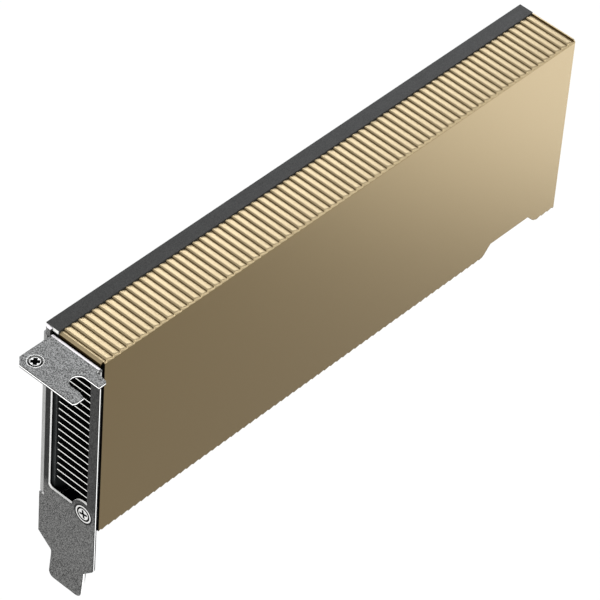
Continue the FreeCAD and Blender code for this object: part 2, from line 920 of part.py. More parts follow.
def make_backplate():
    """Black rear plate with its folded top flange and board spacers."""
    corners = [
        (backplate_start, 0, 0),
        (card_length, 0, 0),
        (card_length, board_bottom + backplate_bottom_rise, backplate_corner),
        (backplate_start, board_bottom + backplate_bottom_rise, backplate_corner),
    ]
    sheet = rounded_prism(corners, lambda x, z: V(x, backplate_inner, z), V(0, backplate_sheet, 0))
    lip = box(backplate_start, card_length, board_front, card_back, -backplate_flange, 0)
    plate = sheet.fuse(lip)
    clear_top = -(backplate_flange + fit_gap)
    clear_low = -flange_drop - relief_width
    clearance = box(0, flange_reach + assembly_gap, board_back, card_back + cut_margin, clear_low, clear_top)
    plate = plate.cut(clearance)
    spacers = []
    for x, z in package_screw_places + cover_post_places:
        spacers.append(hex_post(x, z, backplate_boss_radius, board_back, backplate_inner + embed))
    plate = plate.fuse(spacers).removeSplitter()
    hole = countersink(board_screw_head, board_screw_shank + fit_gap, board_screw_cone, solder_side_depth)
    for x, z in package_screw_places + cover_post_places:
        plate = plate.cut(turned(hole, V(0, 1, 0), V(x, card_back, z)))
    return plate


def screws_at(places, length):
    """Countersunk screws through the backplate and the board."""
    screw = flat_screw(board_screw_head, board_screw_shank, length, board_screw_cone)
    return Part.makeCompound([turned(screw, V(0, 1, 0), V(x, card_back, z)) for x, z in places])


def export(name, shape):
    """Move a part to the key notch's datum, check it and write it."""
    placed = shape.copy()
    placed.translate(V(-key_from_face, -(board_front + board_back) / 2, -contact_edge))
    if not placed.isValid():
        raise ValueError(name + " is not a valid shape")
    if not placed.Solids:
        raise ValueError(name + " has no solid")
    placed.exportStep("parts/" + name + ".step")


def main():
    os.makedirs("parts", exist_ok=True)
    export("io_bracket", make_bracket())
    export("bracket_face_screw", make_face_screw())
    export("bracket_tab_screw", make_tab_screw())
    export("flange_standoffs", make_flange_standoffs())
    export("heatsink_cover", make_cover())
    export("fin_stack", make_fins())
    export("heatsink_base", make_base())
    export("cold_plate", make_cold_plate())
    export("circuit_board", make_board())
    export("front_contacts", make_contacts(True))
    export("back_contacts", make_contacts(False))
    export("package_substrate", make_substrate())
    export("package_stiffener", make_stiffener())
    export("package_die", make_die())
    export("die_paste", make_paste())
    export("memory_chips_front", make_front_memory())
    export("memory_pads_front", make_front_memory_pads())
    export("memory_chips_back", make_back_memory())
    export("memory_pads_back", make_back_memory_pads())
    export("power_inductors", make_inductors())
    export("inductor_pads", make_inductor_pads())
    export("power_stages", make_stages())
    export("power_stage_pads", make_stage_pads())
    export("bulk_capacitors", make_bulk_capacitors())
    export("ceramic_capacitors_front", make_front_ceramics())
    export("ceramic_capacitors_back", make_back_ceramics())
    export("voltage_controllers", make_controllers())
    export("firmware_chip", make_flash())
    export("clock_crystal", make_crystal())
    export("backplate", make_backplate())
    export("cover_screws", screws_at(cover_post_places, cover_screw_length))
    export("package_screws", screws_at(package_screw_places, package_screw_length))


main()
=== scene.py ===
"""Looks of the passive accelerator card: finishes, small hardware, studio light and camera.

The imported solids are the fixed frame. Lengths that describe hardware are written in millimetres and
turned into metres where a mesh is made. Card coordinates run along the card from the bracket's face,
back from the cover's front face, and up from the card's top edge.
"""

import logging
import math
from collections.abc import Sequence
from dataclasses import dataclass, field, replace as altered
from enum import Enum
from functools import reduce

import bmesh
import bpy
from mathutils import Matrix, Vector

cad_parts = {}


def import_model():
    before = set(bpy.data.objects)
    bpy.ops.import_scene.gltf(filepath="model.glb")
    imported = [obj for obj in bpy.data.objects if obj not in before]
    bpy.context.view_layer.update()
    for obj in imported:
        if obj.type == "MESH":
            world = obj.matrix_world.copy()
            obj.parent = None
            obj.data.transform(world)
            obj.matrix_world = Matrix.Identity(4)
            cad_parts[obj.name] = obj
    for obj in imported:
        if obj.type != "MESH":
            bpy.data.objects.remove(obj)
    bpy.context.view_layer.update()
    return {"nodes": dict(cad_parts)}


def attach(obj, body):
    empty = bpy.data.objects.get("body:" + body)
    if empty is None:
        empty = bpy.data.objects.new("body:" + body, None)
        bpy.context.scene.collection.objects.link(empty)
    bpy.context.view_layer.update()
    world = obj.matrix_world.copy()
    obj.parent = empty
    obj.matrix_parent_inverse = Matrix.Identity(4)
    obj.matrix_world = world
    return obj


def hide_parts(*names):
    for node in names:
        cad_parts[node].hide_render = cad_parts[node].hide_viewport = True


LOG = logging.getLogger("card")
MM = 0.001
BODY = "root"

# Where the row frame's origin lies in card coordinates, in millimetres
KEY_FROM_FACE = 57.15
BOARD_MIDDLE = 15.255
CONTACT_EDGE = -70.0

# Size of a normal's part from which a face counts as facing that way
FACES_AWAY = 0.5
FACES_END = 0.6

# Angles in degrees above which an edge is rounded, or shaded as sharp on new and on cut pieces
ROUNDED_ANGLE = 32
SHARP_ANGLE = 35
CUT_SHARP_ANGLE = 28

Colour = tuple[float, float, float]
Place = tuple[float, float, float]
Profile = Sequence[tuple[float, float]]
Socket = bpy.types.NodeSocket
Mesh = bmesh.types.BMesh
Piece = bpy.types.Object
Tree = bpy.types.NodeTree


def card_point(x: float, y: float, z: float) -> Vector:
    """Turn card coordinates in millimetres into the row frame in metres.

    Args:
        x: Distance along the card from the bracket's outer face.
        y: Depth behind the cover's front face.
        z: Height above the card's top edge.

    Returns:
        The point in metres.
    """
    return Vector((x - KEY_FROM_FACE, y - BOARD_MIDDLE, z - CONTACT_EDGE)) * MM


def at_x(x: float) -> float:
    """Place along the card in the row frame, in metres."""
    return (x - KEY_FROM_FACE) * MM


def at_y(y: float) -> float:
    """Depth behind the cover's face in the row frame, in metres."""
    return (y - BOARD_MIDDLE) * MM


def at_z(z: float) -> float:
    """Height above the card's top edge in the row frame, in metres."""
    return (z - CONTACT_EDGE) * MM


def screen(red: float, green: float, blue: float) -> Colour:
    """Turn a colour as it looks on screen, 0 to 255, into linear light.

    Args:
        red: Red share on screen.
        green: Green share on screen.
        blue: Blue share on screen.

    Returns:
        The linear colour, 0 to 1.
    """
    def linear(level: float) -> float:
        """Linear share of one channel."""
        share = level / 255
        return share / 12.92 if share <= 0.04045 else ((share + 0.055) / 1.055) ** 2.4

    return (linear(red), linear(green), linear(blue))


def scaled(colour: Colour, factor: float) -> Colour:
    """Lighter or darker copy of a colour, by a factor."""
    return tuple(min(1.0, channel * factor) for channel in colour)


def circle(sides: int) -> list[tuple[float, float]]:
    """Cosine and sine at equal steps round a circle."""
    turns = [2 * math.pi * i / sides for i in range(sides)]
    return [(math.cos(turn), math.sin(turn)) for turn in turns]


def math_node(tree: Tree, operation: str, first: Socket, second: Socket | float = 0.0) -> Socket:
    """Join two values, or a value and a number, by one operation.

    Args:
        tree: Node tree that the node goes into.
        operation: Blender's name of the operation.
        first: First value.
        second: Second value or number.

    Returns:
        The result.
    """
    node = tree.nodes.new("ShaderNodeMath")
    node.operation = operation
    tree.links.new(first, node.inputs[0])
    if isinstance(second, float):
        node.inputs[1].default_value = second
    else:
        tree.links.new(second, node.inputs[1])
    return node.outputs["Value"]


class Grain(Enum):
    """Kinds of fine surface structure."""

    SPECKLE = "speckle"
    BLASTED = "blasted"
    BRUSHED = "brushed"
    MOULDED = "moulded"


class Graph:
    """Node graph of one material, with short calls for the nodes used here."""

    def __init__(self, name: str) -> None:
        """Start a material with a principled shader.

        Args:
            name: Name of the material.
        """
        self.material = bpy.data.materials.new(name)
        self.material.use_nodes = True
        self.tree = self.material.node_tree
        self.tree.nodes.clear()
        output = self.tree.nodes.new("ShaderNodeOutputMaterial")
        self.shader = self.tree.nodes.new("ShaderNodeBsdfPrincipled")
        self.link(self.shader.outputs["BSDF"], output.inputs["Surface"])
        self.place = self.tree.nodes.new("ShaderNodeTexCoord").outputs["Object"]
        self.facing = self.tree.nodes.new("ShaderNodeNewGeometry").outputs["True Normal"]

    def link(self, source: Socket, target: Socket) -> None:
        """Join an output to an input."""
        self.tree.links.new(source, target)

    def noise(self, scale: float, detail: float, stretch: Place = (1.0, 1.0, 1.0)) -> Socket:
        """Add noise over the object's own coordinates.

        Even noise is turned, so that no flat face lies along its cells.

        Args:
            scale: Number of noise cells in a metre.
            detail: Number of finer octaves.
            stretch: Factor on the cells along each axis, above 1 for shorter cells.

        Returns:
            The noise value, about 0 to 1.
        """
        mapping = self.tree.nodes.new("ShaderNodeMapping")
        mapping.inputs["Scale"].default_value = stretch
        if stretch == (1.0, 1.0, 1.0):
            mapping.inputs["Rotation"].default_value = (0.61, 0.37, 0.23)
        texture = self.tree.nodes.new("ShaderNodeTexNoise")
        texture.inputs["Scale"].default_value = scale
        texture.inputs["Detail"].default_value = detail
        self.link(self.place, mapping.inputs["Vector"])
        self.link(mapping.outputs["Vector"], texture.inputs["Vector"])
        return texture.outputs["Fac"]

    def blend(self, factor: Socket, low: Colour, high: Colour,
              stops: tuple[float, float] = (0.3, 0.7)) -> Socket:
        """Turn a value into a colour between two ends.

        Args:
            factor: Value that picks the colour.
            low: Colour at the first stop and below.
            high: Colour at the second stop and above.
            stops: Values where the change starts and ends.

        Returns:
            The colour.
        """
        ramp = self.tree.nodes.new("ShaderNodeValToRGB")
        ends = ramp.color_ramp.elements
        ends[0].position, ends[1].position = stops
        ends[0].color = (*low, 1.0)
        ends[1].color = (*high, 1.0)
        self.link(factor, ramp.inputs["Fac"])
        return ramp.outputs["Color"]

    def remap(self, value: Socket, start: float, end: float,
              low: float = 0.0, high: float = 1.0) -> Socket:
        """Stretch a value from one range to another, held at the ends.

        Args:
            value: Value to change.
            start: Value that becomes low.
            end: Value that becomes high.
            low: Result at the start.
            high: Result at the end.

        Returns:
            The new value.
        """
        node = self.tree.nodes.new("ShaderNodeMapRange")
        for name, number in (("From Min", start), ("From Max", end), ("To Min", low), ("To Max", high)):
            node.inputs[name].default_value = number
        self.link(value, node.inputs["Value"])
        return node.outputs["Result"]

    def bump(self, height: Socket, distance: float, strength: float) -> None:
        """Let a value roughen the surface.

        Args:
            height: Height value, 0 to 1.
            distance: Height of 1, in millimetres.
            strength: Share of the bump that counts.
        """
        node = self.tree.nodes.new("ShaderNodeBump")
        node.inputs["Distance"].default_value = distance * MM
        node.inputs["Strength"].default_value = strength
        self.link(height, node.inputs["Height"])
        self.link(node.outputs["Normal"], self.shader.inputs["Normal"])

    def axes(self, vector: Socket) -> list[Socket]:
        """Split a vector into its three parts.

        Args:
            vector: Vector to split.

        Returns:
            The parts along X, Y and Z.
        """
        node = self.tree.nodes.new("ShaderNodeSeparateXYZ")
        self.link(vector, node.inputs["Vector"])
        return [node.outputs[name] for name in "XYZ"]

    def math(self, operation: str, first: Socket, second: Socket | float = 0.0) -> Socket:
        """Join two values by one operation in this graph."""
        return math_node(self.tree, operation, first, second)

    def all_of(self, *masks: Socket) -> Socket:
        """Mask of the places where all the given masks are set."""
        return reduce(lambda one, other: self.math("MULTIPLY", one, other), masks)

    def any_of(self, *masks: Socket) -> Socket:
        """Mask of the places where at least one of the given masks is set."""
        return reduce(lambda one, other: self.math("MAXIMUM", one, other), masks)

    def over(self, value: Socket, limit: float, blur: float = 0.02) -> Socket:
        """Mask of the places where a value is over a limit.

        Args:
            value: Value to test.
            limit: Limit, in the value's own unit.
            blur: Width of the change from 0 to 1, in thousandths of that unit, so millimetres for a place.

        Returns:
            The mask.
        """
        return self.remap(value, limit - blur * MM / 2, limit + blur * MM / 2)

    def under(self, value: Socket, limit: float, blur: float = 0.02) -> Socket:
        """Mask of the places where a value is under a limit, as its opposite above."""
        return self.remap(value, limit - blur * MM / 2, limit + blur * MM / 2, 1.0, 0.0)

    def paint(self, mask: Socket, base: Socket, colour: Colour) -> Socket:
        """Put a colour over a base where a mask is set.

        Args:
            mask: Share of the new colour, 0 to 1.
            base: Colour elsewhere.
            colour: New colour.

        Returns:
            The mixed colour.
        """
        node = self.tree.nodes.new("ShaderNodeMix")
        node.data_type = "RGBA"
        self.link(mask, node.inputs[0])
        self.link(base, node.inputs[6])
        node.inputs[7].default_value = (*colour, 1.0)
        return node.outputs[2]

    def dimmed(self, base: Socket, factor: Socket) -> Socket:
        """Colour times a value that varies over the surface.

        Args:
            base: Colour to change.
            factor: Value that it is multiplied by.

        Returns:
            The changed colour.
        """
        node = self.tree.nodes.new("ShaderNodeVectorMath")
        node.operation = "SCALE"
        self.link(base, node.inputs[0])
        self.link(factor, node.inputs["Scale"])
        return node.outputs["Vector"]

    def fix(self, **values: float) -> None:
        """Set numbers on the shader's own sockets; a name has underscores for its spaces."""
        for name, number in values.items():
            self.shader.inputs[name.replace("_", " ")].default_value = number


@dataclass(frozen=True)
class Finish:
    """One surface finish: colour, gloss and the fine structure that breaks them up.

    The grain's cell and its relief are in millimetres.
    """

    name: str
    colour: Colour
    metallic: float
    roughness: float
    grain: Grain
    tone: float = 0.12
    cell: float = 0.35
    relief: float = 0.01
    gloss_spread: float = 0.10
    specular: float = 0.5
    along: int = 0
    brushed_stretch: float = 0.04
    cloud_cells: float = 14.0
    bump_share: float = 0.6
    coarse_cells: float = 3.1
    coarse_share: float = 0.15
    speckle_stops: tuple[float, float] = (0.42, 0.58)

    def stretch(self) -> Place:
        """Noise stretch of the grain: brushed lines run along one axis.

        Returns:
            Factor on the noise cells along each axis.
        """
        if self.grain is not Grain.BRUSHED:
            return (1.0, 1.0, 1.0)
        return tuple(self.brushed_stretch if axis == self.along else 1.0 for axis in range(3))

    def material(self) -> bpy.types.Material:
        """Build the node graph once and reuse it afterwards.

        Returns:
            The material.
        """
        known = bpy.data.materials.get(self.name + "_finish")
        if known is not None:
            return known
        graph = Graph(self.name + "_finish")
        cells = 1 / (self.cell * MM)
        fine = graph.noise(cells, 3.0, self.stretch())
        cloudy = graph.noise(cells / self.cloud_cells, 2.0)
        base = graph.blend(fine, *self.tones())
        if self.grain is Grain.SPECKLE:
            base = self.speckle(graph, cells)
        graph.fix(Metallic=self.metallic, Specular_IOR_Level=self.specular)
        graph.link(self.marked(graph, base), graph.shader.inputs["Base Color"])
        low, high = self.roughness - self.gloss_spread, self.roughness + self.gloss_spread
        if not graph.shader.inputs["Roughness"].is_linked:
            graph.link(graph.remap(cloudy, 0.3, 0.7, low, high), graph.shader.inputs["Roughness"])
        graph.bump(fine, self.relief, self.bump_share)
        return graph.material

    def marked(self, graph: Graph, base: Socket) -> Socket:
        """Colour with the marks of this finish; a plain finish has none.

        Args:
            graph: Graph that the nodes go into.
            base: Colour of the plain surface.

        Returns:
            The colour with its marks.
        """
        return base

    def tones(self) -> tuple[Colour, Colour]:
        """Darkest and lightest colour of the grain."""
        return scaled(self.colour, 1 - self.tone), scaled(self.colour, 1 + self.tone)

    def speckle(self, graph: Graph, cells: float) -> Socket:
        """Mottled tone of plated sheet, from two sizes of crystal.

        Args:
            graph: Graph that the nodes go into.
            cells: Number of fine cells in a metre.

        Returns:
            The colour.
        """
        fine = graph.noise(cells, 4.0)
        coarse = graph.remap(graph.noise(cells / self.coarse_cells, 2.0), 0.0, 1.0, 0.0, self.coarse_share)
        joined = graph.math("ADD", graph.math("MULTIPLY", fine, 1 - self.coarse_share), coarse)
        return graph.blend(joined, *self.tones(), self.speckle_stops)


@dataclass(frozen=True)
class BracketFinish(Finish):
    """Plated sheet with bare cut edges and outer bends painted bright as highlights; places in card
    millimetres.
    """

    # Painted highlights: near white on the bare cut faces, pale on the tab's outer bend, grey on the side
    # fold's round as painted reflection
    cut: Colour = screen(250, 250, 248)
    bend: Colour = screen(226, 222, 226)
    side_bend: Colour = screen(190, 190, 189)
    # Painted shade lines along the cut faces and round the countersink
    line: Colour = screen(16, 16, 16)
    # Painted shadow of the tab on the plate: shares of the sheet colour that stay, near the window and
    # towards the side flange
    shade: float = 0.30
    far_shade: float = 0.12
    shade_change: tuple[float, float] = (15.3, 15.6)
    window_foot: float = -51.5
    shade_blur: float = 5.0
    bend_tilt: float = 0.2
    fold_height: float = -2.3
    tab_root: float = -0.44
    plate_back: float = 0.90
    side_bend_start: float = 17.72
    side_bend_foot: float = -55.3
    cut_end: float = 17.7
    front_edge: float = 0.5
    plate_lines: tuple[float, float] = (0.30, 0.54)
    tab_lines: tuple[float, float] = (-1.27, -1.58)
    screw_place: tuple[float, float] = (3.50, -53.00)
    screw_ring: float = 3.04
    ring_blur: float = 0.08

    def marked(self, graph: Graph, base: Socket) -> Socket:
        """Sheet colour with painted highlights on cuts and bends, painted shade lines, and the tab's painted
        shadow round the window.

        Args:
            graph: Graph that the nodes go into.
            base: Colour of the plain sheet.

        Returns:
            The colour with its marks.
        """
        x, y, z = graph.axes(graph.place)
        lean, _, rise = graph.axes(graph.facing)
        across, upright = graph.math("ABSOLUTE", lean), graph.math("ABSOLUTE", rise)
        fold, root = at_z(self.fold_height), at_x(self.tab_root)
        above, below = graph.over(z, fold), graph.under(z, fold)
        flat = graph.all_of(below, graph.over(across, FACES_AWAY))
        in_plate = graph.under(x, at_x(self.plate_back))
        # Painted shadow of the tab on the plate's face, from the fold down to the window's foot, deeper
        # towards the side flange
        shadow = graph.all_of(flat, in_plate, graph.over(z, at_z(self.window_foot), self.shade_blur))
        start, end = (at_y(edge) for edge in self.shade_change)
        shaded = graph.all_of(shadow, graph.remap(y, start, end, self.shade, self.far_shade))
        base = graph.dimmed(base, graph.math("ADD", graph.remap(shadow, 0.0, 1.0, 1.0, 0.0), shaded))
        round_side = graph.all_of(below, graph.over(y, at_y(self.side_bend_start)),
                                  graph.over(z, at_z(self.side_bend_foot)))
        plate_cut = graph.all_of(below, in_plate, graph.under(across, FACES_AWAY),
                                 graph.under(y, at_y(self.cut_end)))
        tab_cut = graph.all_of(above, graph.under(x, root), graph.under(upright, FACES_AWAY))
        cuts = graph.any_of(plate_cut, tab_cut)
        outer = graph.all_of(above, graph.over(x, root), graph.over(rise, self.bend_tilt))
        # Painted highlights and reflection on the cut faces, the tab's bend and the side fold's round
        for mask, colour in ((round_side, self.side_bend), (cuts, self.cut), (outer, self.bend)):
            base = graph.paint(mask, base, colour)
        # Painted shade lines on the edges of the cut faces and the painted shadow in the countersink's rim
        near, back = (at_x(line) for line in self.plate_lines)
        upper, lower = (at_z(line) for line in self.tab_lines)
        front = graph.all_of(graph.under(x, near), graph.under(y, at_y(self.front_edge)))
        dark = graph.any_of(graph.all_of(flat, self.countersink_shadow_mask(graph, y, z)),
                            graph.all_of(plate_cut, graph.any_of(front, graph.over(x, back))),
                            graph.all_of(tab_cut, graph.any_of(graph.over(z, upper), graph.under(z, lower))))
        plated = graph.remap(graph.any_of(cuts, outer, round_side), 0.0, 1.0, self.metallic, 0.0)
        graph.link(graph.any_of(plated, dark), graph.shader.inputs["Metallic"])
        return graph.paint(dark, base, self.line)

    def countersink_shadow_mask(self, graph: Graph, y: Socket, z: Socket) -> Socket:
        """Mask of the painted shadow in the countersink's rim round the face screw.

        Args:
            graph: Graph that the nodes go into.
            y: Place across the card.
            z: Height.

        Returns:
            The mask.
        """
        side = graph.math("ADD", y, -at_y(self.screw_place[0]))
        rise = graph.math("ADD", z, -at_z(self.screw_place[1]))
        square = graph.math("ADD", graph.math("MULTIPLY", side, side), graph.math("MULTIPLY", rise, rise))
        return graph.under(graph.math("SQRT", square), self.screw_ring * MM, self.ring_blur)


@dataclass(frozen=True)
class RibbedFinish(Finish):
    """Anodised metal whose milled ribs are duller than its flat face, their faces that point up or down
    painted paler as a highlight.
    """

    rib_highlight_colour: Colour = screen(151, 136, 107)
    rib_roughness: float = 0.46
    rib_tilt: float = 0.3

    def marked(self, graph: Graph, base: Socket) -> Socket:
        """Face colour with duller ribs, painted paler as a highlight.

        Args:
            graph: Graph that the nodes go into.
            base: Colour of the flat face.

        Returns:
            The colour with its ribs.
        """
        ribs = graph.over(graph.math("ABSOLUTE", graph.axes(graph.facing)[2]), self.rib_tilt)
        gloss = graph.remap(ribs, 0.0, 1.0, self.roughness, self.rib_roughness)
        graph.link(gloss, graph.shader.inputs["Roughness"])
        # Painted highlight: faces that point up or down take the paler rib colour
        return graph.paint(ribs, base, self.rib_highlight_colour)


@dataclass(frozen=True)
class FinFinish(Finish):
    """Fins painted near black as the shade inside the cover, with a painted highlight line along the middle
    of each sheared end.

    The first fin's height, the pitch, and the half and the soft rim of the line are in millimetres. The
    counted pitches keep the divided height above zero and put each fin's middle at one half.
    """

    edge: Colour = screen(226, 226, 222)
    first: float = -6.717
    pitch: float = 2.315
    half: float = 0.12
    soft: float = 0.05
    counted: float = 40.5

    def marked(self, graph: Graph, base: Socket) -> Socket:
        """Painted shade colour with the painted highlights on the ends.

        Args:
            graph: Graph that the nodes go into.
            base: Colour of the broad faces.

        Returns:
            The colour with painted highlights on the ends.
        """
        across = graph.math("ABSOLUTE", graph.axes(graph.facing)[0])
        raised = -at_z(self.first) + self.counted * self.pitch * MM
        shifted = graph.math("ADD", graph.axes(graph.place)[2], raised)
        turn = graph.math("FRACT", graph.math("DIVIDE", shifted, self.pitch * MM))
        offset = graph.math("ABSOLUTE", graph.math("SUBTRACT", turn, 0.5))
        inner, outer = (self.half - self.soft) / self.pitch, (self.half + self.soft) / self.pitch
        line = graph.remap(offset, inner, outer, 1.0, 0.0)
        return graph.paint(graph.all_of(graph.over(across, FACES_END), line), base, self.edge)


@dataclass(frozen=True)
class EdgedFinish(Finish):
    """Finish of thin sheet seen end on: the faces across the card keep a second colour."""

    edge: Colour = screen(214, 214, 211)
    drop: float = 80.0

    def marked(self, graph: Graph, base: Socket) -> Socket:
        """Colour with bright end faces down to a drop below the card's top.

        Args:
            graph: Graph that the nodes go into.
            base: Colour of the broad faces.

        Returns:
            The colour with bright ends.
        """
        across = graph.math("ABSOLUTE", graph.axes(graph.facing)[0])
        high = graph.over(graph.axes(graph.place)[2], at_z(-self.drop))
        return graph.paint(graph.all_of(graph.over(across, FACES_END), high), base, self.edge)


PLATED_SHEET = BracketFinish("plated_sheet", screen(104, 104, 103), 1.0, 0.42, Grain.SPECKLE,
                             0.80, 0.25, 0.012, 0.01)
GOLD_ANODISED = RibbedFinish("gold_anodised", screen(109, 92, 58), 1.0, 0.30, Grain.BLASTED,
                             0.03, 0.12, 0.003, 0.01)
# Near black without sheen: painted shade on the cover's inner faces, its recessed strip, the screw block and
# the posts
CAVITY_SHADE = Finish("cavity_shade", screen(8, 8, 7), 0.0, 0.80, Grain.BLASTED, 0.10, 0.20, 0.003,
                     specular=0.0)
# Near-black fins without sheen: painted shade inside the cover
FIN_METAL = FinFinish("fin_metal", screen(9, 9, 9), 0.0, 0.70, Grain.BRUSHED, 0.08, 0.25, 0.003,
                      specular=0.0)
BASE_METAL = Finish("base_metal", screen(190, 190, 188), 0.9, 0.34, Grain.BRUSHED, 0.08, 0.40, 0.004)
BLACK_PLATE = EdgedFinish("black_plate", screen(44, 44, 43), 0.0, 0.56, Grain.SPECKLE,
                          0.45, 0.24, 0.010, 0.02, specular=0.16, drop=1.1)
# Lighter, almost non-metal grey of the side fold's round: painted reflection of the light from the left
SIDE_BEND = Finish("side_bend", screen(136, 136, 135), 0.1, 0.40, Grain.SPECKLE, 0.12, 0.25, 0.004)
SCREW_STEEL = Finish("screw_steel", screen(226, 226, 224), 0.9, 0.24, Grain.BRUSHED, 0.08, 0.15, 0.002)
BLACK_OXIDE = Finish("black_oxide", screen(58, 57, 58), 0.7, 0.34, Grain.BLASTED, 0.15, 0.20, 0.003)
COPPER = Finish("copper_plate", screen(200, 128, 92), 1.0, 0.30, Grain.BRUSHED, 0.10, 0.30, 0.004)
SOLDER_MASK = Finish("solder_mask", screen(28, 30, 30), 0.0, 0.38, Grain.MOULDED, 0.15, 0.90, 0.010)
HARD_GOLD = Finish("hard_gold", screen(224, 184, 104), 1.0, 0.24, Grain.BRUSHED, 0.06, 0.12, 0.001, along=2)
GREEN_RESIST = Finish("green_resist", screen(44, 96, 58), 0.0, 0.36, Grain.MOULDED, 0.12, 0.80, 0.006)
NICKEL = Finish("nickel_plate", screen(198, 196, 188), 0.9, 0.28, Grain.BRUSHED, 0.06, 0.30, 0.002)
DIE = Finish("polished_silicon", screen(72, 76, 84), 0.4, 0.14, Grain.MOULDED, 0.04, 0.60, 0.0005, 0.03)
PASTE = Finish("grey_paste", screen(170, 170, 168), 0.0, 0.70, Grain.BLASTED, 0.10, 0.25, 0.010)
CHIP_RESIN = Finish("chip_resin", screen(44, 44, 45), 0.0, 0.55, Grain.BLASTED, 0.14, 0.10, 0.006)
SOFT_PAD = Finish("soft_pad", screen(150, 158, 170), 0.0, 0.80, Grain.MOULDED, 0.08, 0.40, 0.012)
FERRITE = Finish("ferrite", screen(96, 96, 98), 0.1, 0.62, Grain.BLASTED, 0.16, 0.22, 0.012)
CAP_RESIN = Finish("capacitor_resin", screen(70, 68, 68), 0.0, 0.46, Grain.MOULDED, 0.10, 0.40, 0.004)
CERAMIC = Finish("ceramic_body", screen(166, 132, 98), 0.0, 0.40, Grain.MOULDED, 0.10, 0.30, 0.003)
TINNED = Finish("tinned_end", screen(206, 206, 202), 0.85, 0.34, Grain.BLASTED, 0.06, 0.12, 0.004)
SCREW_SHADOW = Finish("screw_shadow", screen(12, 12, 12), 0.0, 0.60, Grain.BLASTED, 0.10, 0.20, 0.003,
                      specular=0.0)
TRACE_MASK = Finish("masked_trace", screen(40, 44, 44), 0.1, 0.34, Grain.MOULDED, 0.10, 0.50, 0.002)

# Nodes that Internals dresses; Bracket and RearPlate dress their own
NODES_BY_FINISH = {
    SCREW_STEEL: ("bracket_face_screw", "bracket_tab_screw"),
    NICKEL: ("package_stiffener", "clock_crystal"),
    GOLD_ANODISED: ("heatsink_cover",),
    BLACK_OXIDE: ("cover_screws", "package_screws"),
    FIN_METAL: ("fin_stack",),
    BASE_METAL: ("heatsink_base",),
    COPPER: ("cold_plate",),
    SOLDER_MASK: ("circuit_board",),
    HARD_GOLD: ("front_contacts", "back_contacts"),
    GREEN_RESIST: ("package_substrate",),
    DIE: ("package_die",),
    PASTE: ("die_paste",),
    CHIP_RESIN: ("memory_chips_front", "memory_chips_back", "power_stages", "voltage_controllers",
                 "firmware_chip"),
    SOFT_PAD: ("memory_pads_front", "memory_pads_back", "inductor_pads", "power_stage_pads"),
    FERRITE: ("power_inductors",),
    CAP_RESIN: ("bulk_capacitors",),
    CERAMIC: ("ceramic_capacitors_front", "ceramic_capacitors_back"),
}


@dataclass
class Workshop:
    """Makes objects from mesh code and hands them to the frame."""

    nodes: dict[str, Piece]

    def dress(self, node: str, finish: Finish) -> Piece:
        """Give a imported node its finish.

        Args:
            node: Name of the node.
            finish: Finish of its surface.

        Returns:
            The node's object.
        """
        piece = self.nodes[node]
        piece.data.materials.clear()
        piece.data.materials.append(finish.material())
        LOG.info("dressed %s with %s", node, finish.name)
        return piece

    @staticmethod
    def soften(piece: Piece, width: float) -> None:
        """Round the sharp edges a little.

        Args:
            piece: Object to change.
            width: Width of the rounding, in millimetres.
        """
        bevel = piece.modifiers.new("soft_edges", "BEVEL")
        bevel.width = width * MM
        bevel.segments = 2
        bevel.limit_method = "ANGLE"
        bevel.angle_limit = math.radians(ROUNDED_ANGLE)
        bevel.harden_normals = False

    @staticmethod
    def stack(shape: Mesh, rings: list[list[Vector]], second: tuple[int, ...] = ()) -> None:
        """Close a row of rings with equal numbers of points into one solid.

        Args:
            shape: Mesh that takes the solid.
            rings: Rings in order, points in metres.
            second: Numbers of the bands between rings that take the second finish.
        """
        made = [[shape.verts.new(point) for point in ring] for ring in rings]
        count = len(made[0])
        for band, (first, other) in enumerate(zip(made, made[1:])):
            for i in range(count):
                j = (i + 1) % count
                face = shape.faces.new((first[i], first[j], other[j], other[i]))
                face.material_index = 1 if band in second else 0
        shape.faces.new(list(reversed(made[0])))
        shape.faces.new(made[-1])

    def finished(self, shape: Mesh, name: str, finish: Finish, slot: str,
                 smooth: bool = True, second: Finish | None = None) -> Piece:
        """Turn a finished bmesh into a piece that rides on the card.

        Args:
            shape: Mesh in the row frame, in metres.
            name: Name of the piece.
            finish: Finish of its surface.
            slot: Name of a material slot; not used.
            smooth: Whether faces meeting at a shallow angle are shaded as one.
            second: Finish of the faces with material index 1.

        Returns:
            The new object.
        """
        bmesh.ops.recalc_face_normals(shape, faces=shape.faces)
        mesh = bpy.data.meshes.new(name)
        shape.to_mesh(mesh)
        shape.free()
        if smooth:
            mesh.shade_smooth()
            mesh.set_sharp_from_angle(angle=math.radians(SHARP_ANGLE))
        mesh.materials.append(finish.material())
        if second is not None:
            mesh.materials.append(second.material())
        piece = bpy.data.objects.new(name, mesh)
        bpy.context.scene.collection.objects.link(piece)
        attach(piece, BODY)
        LOG.info("built %s with %d faces", name, len(mesh.polygons))
        return piece


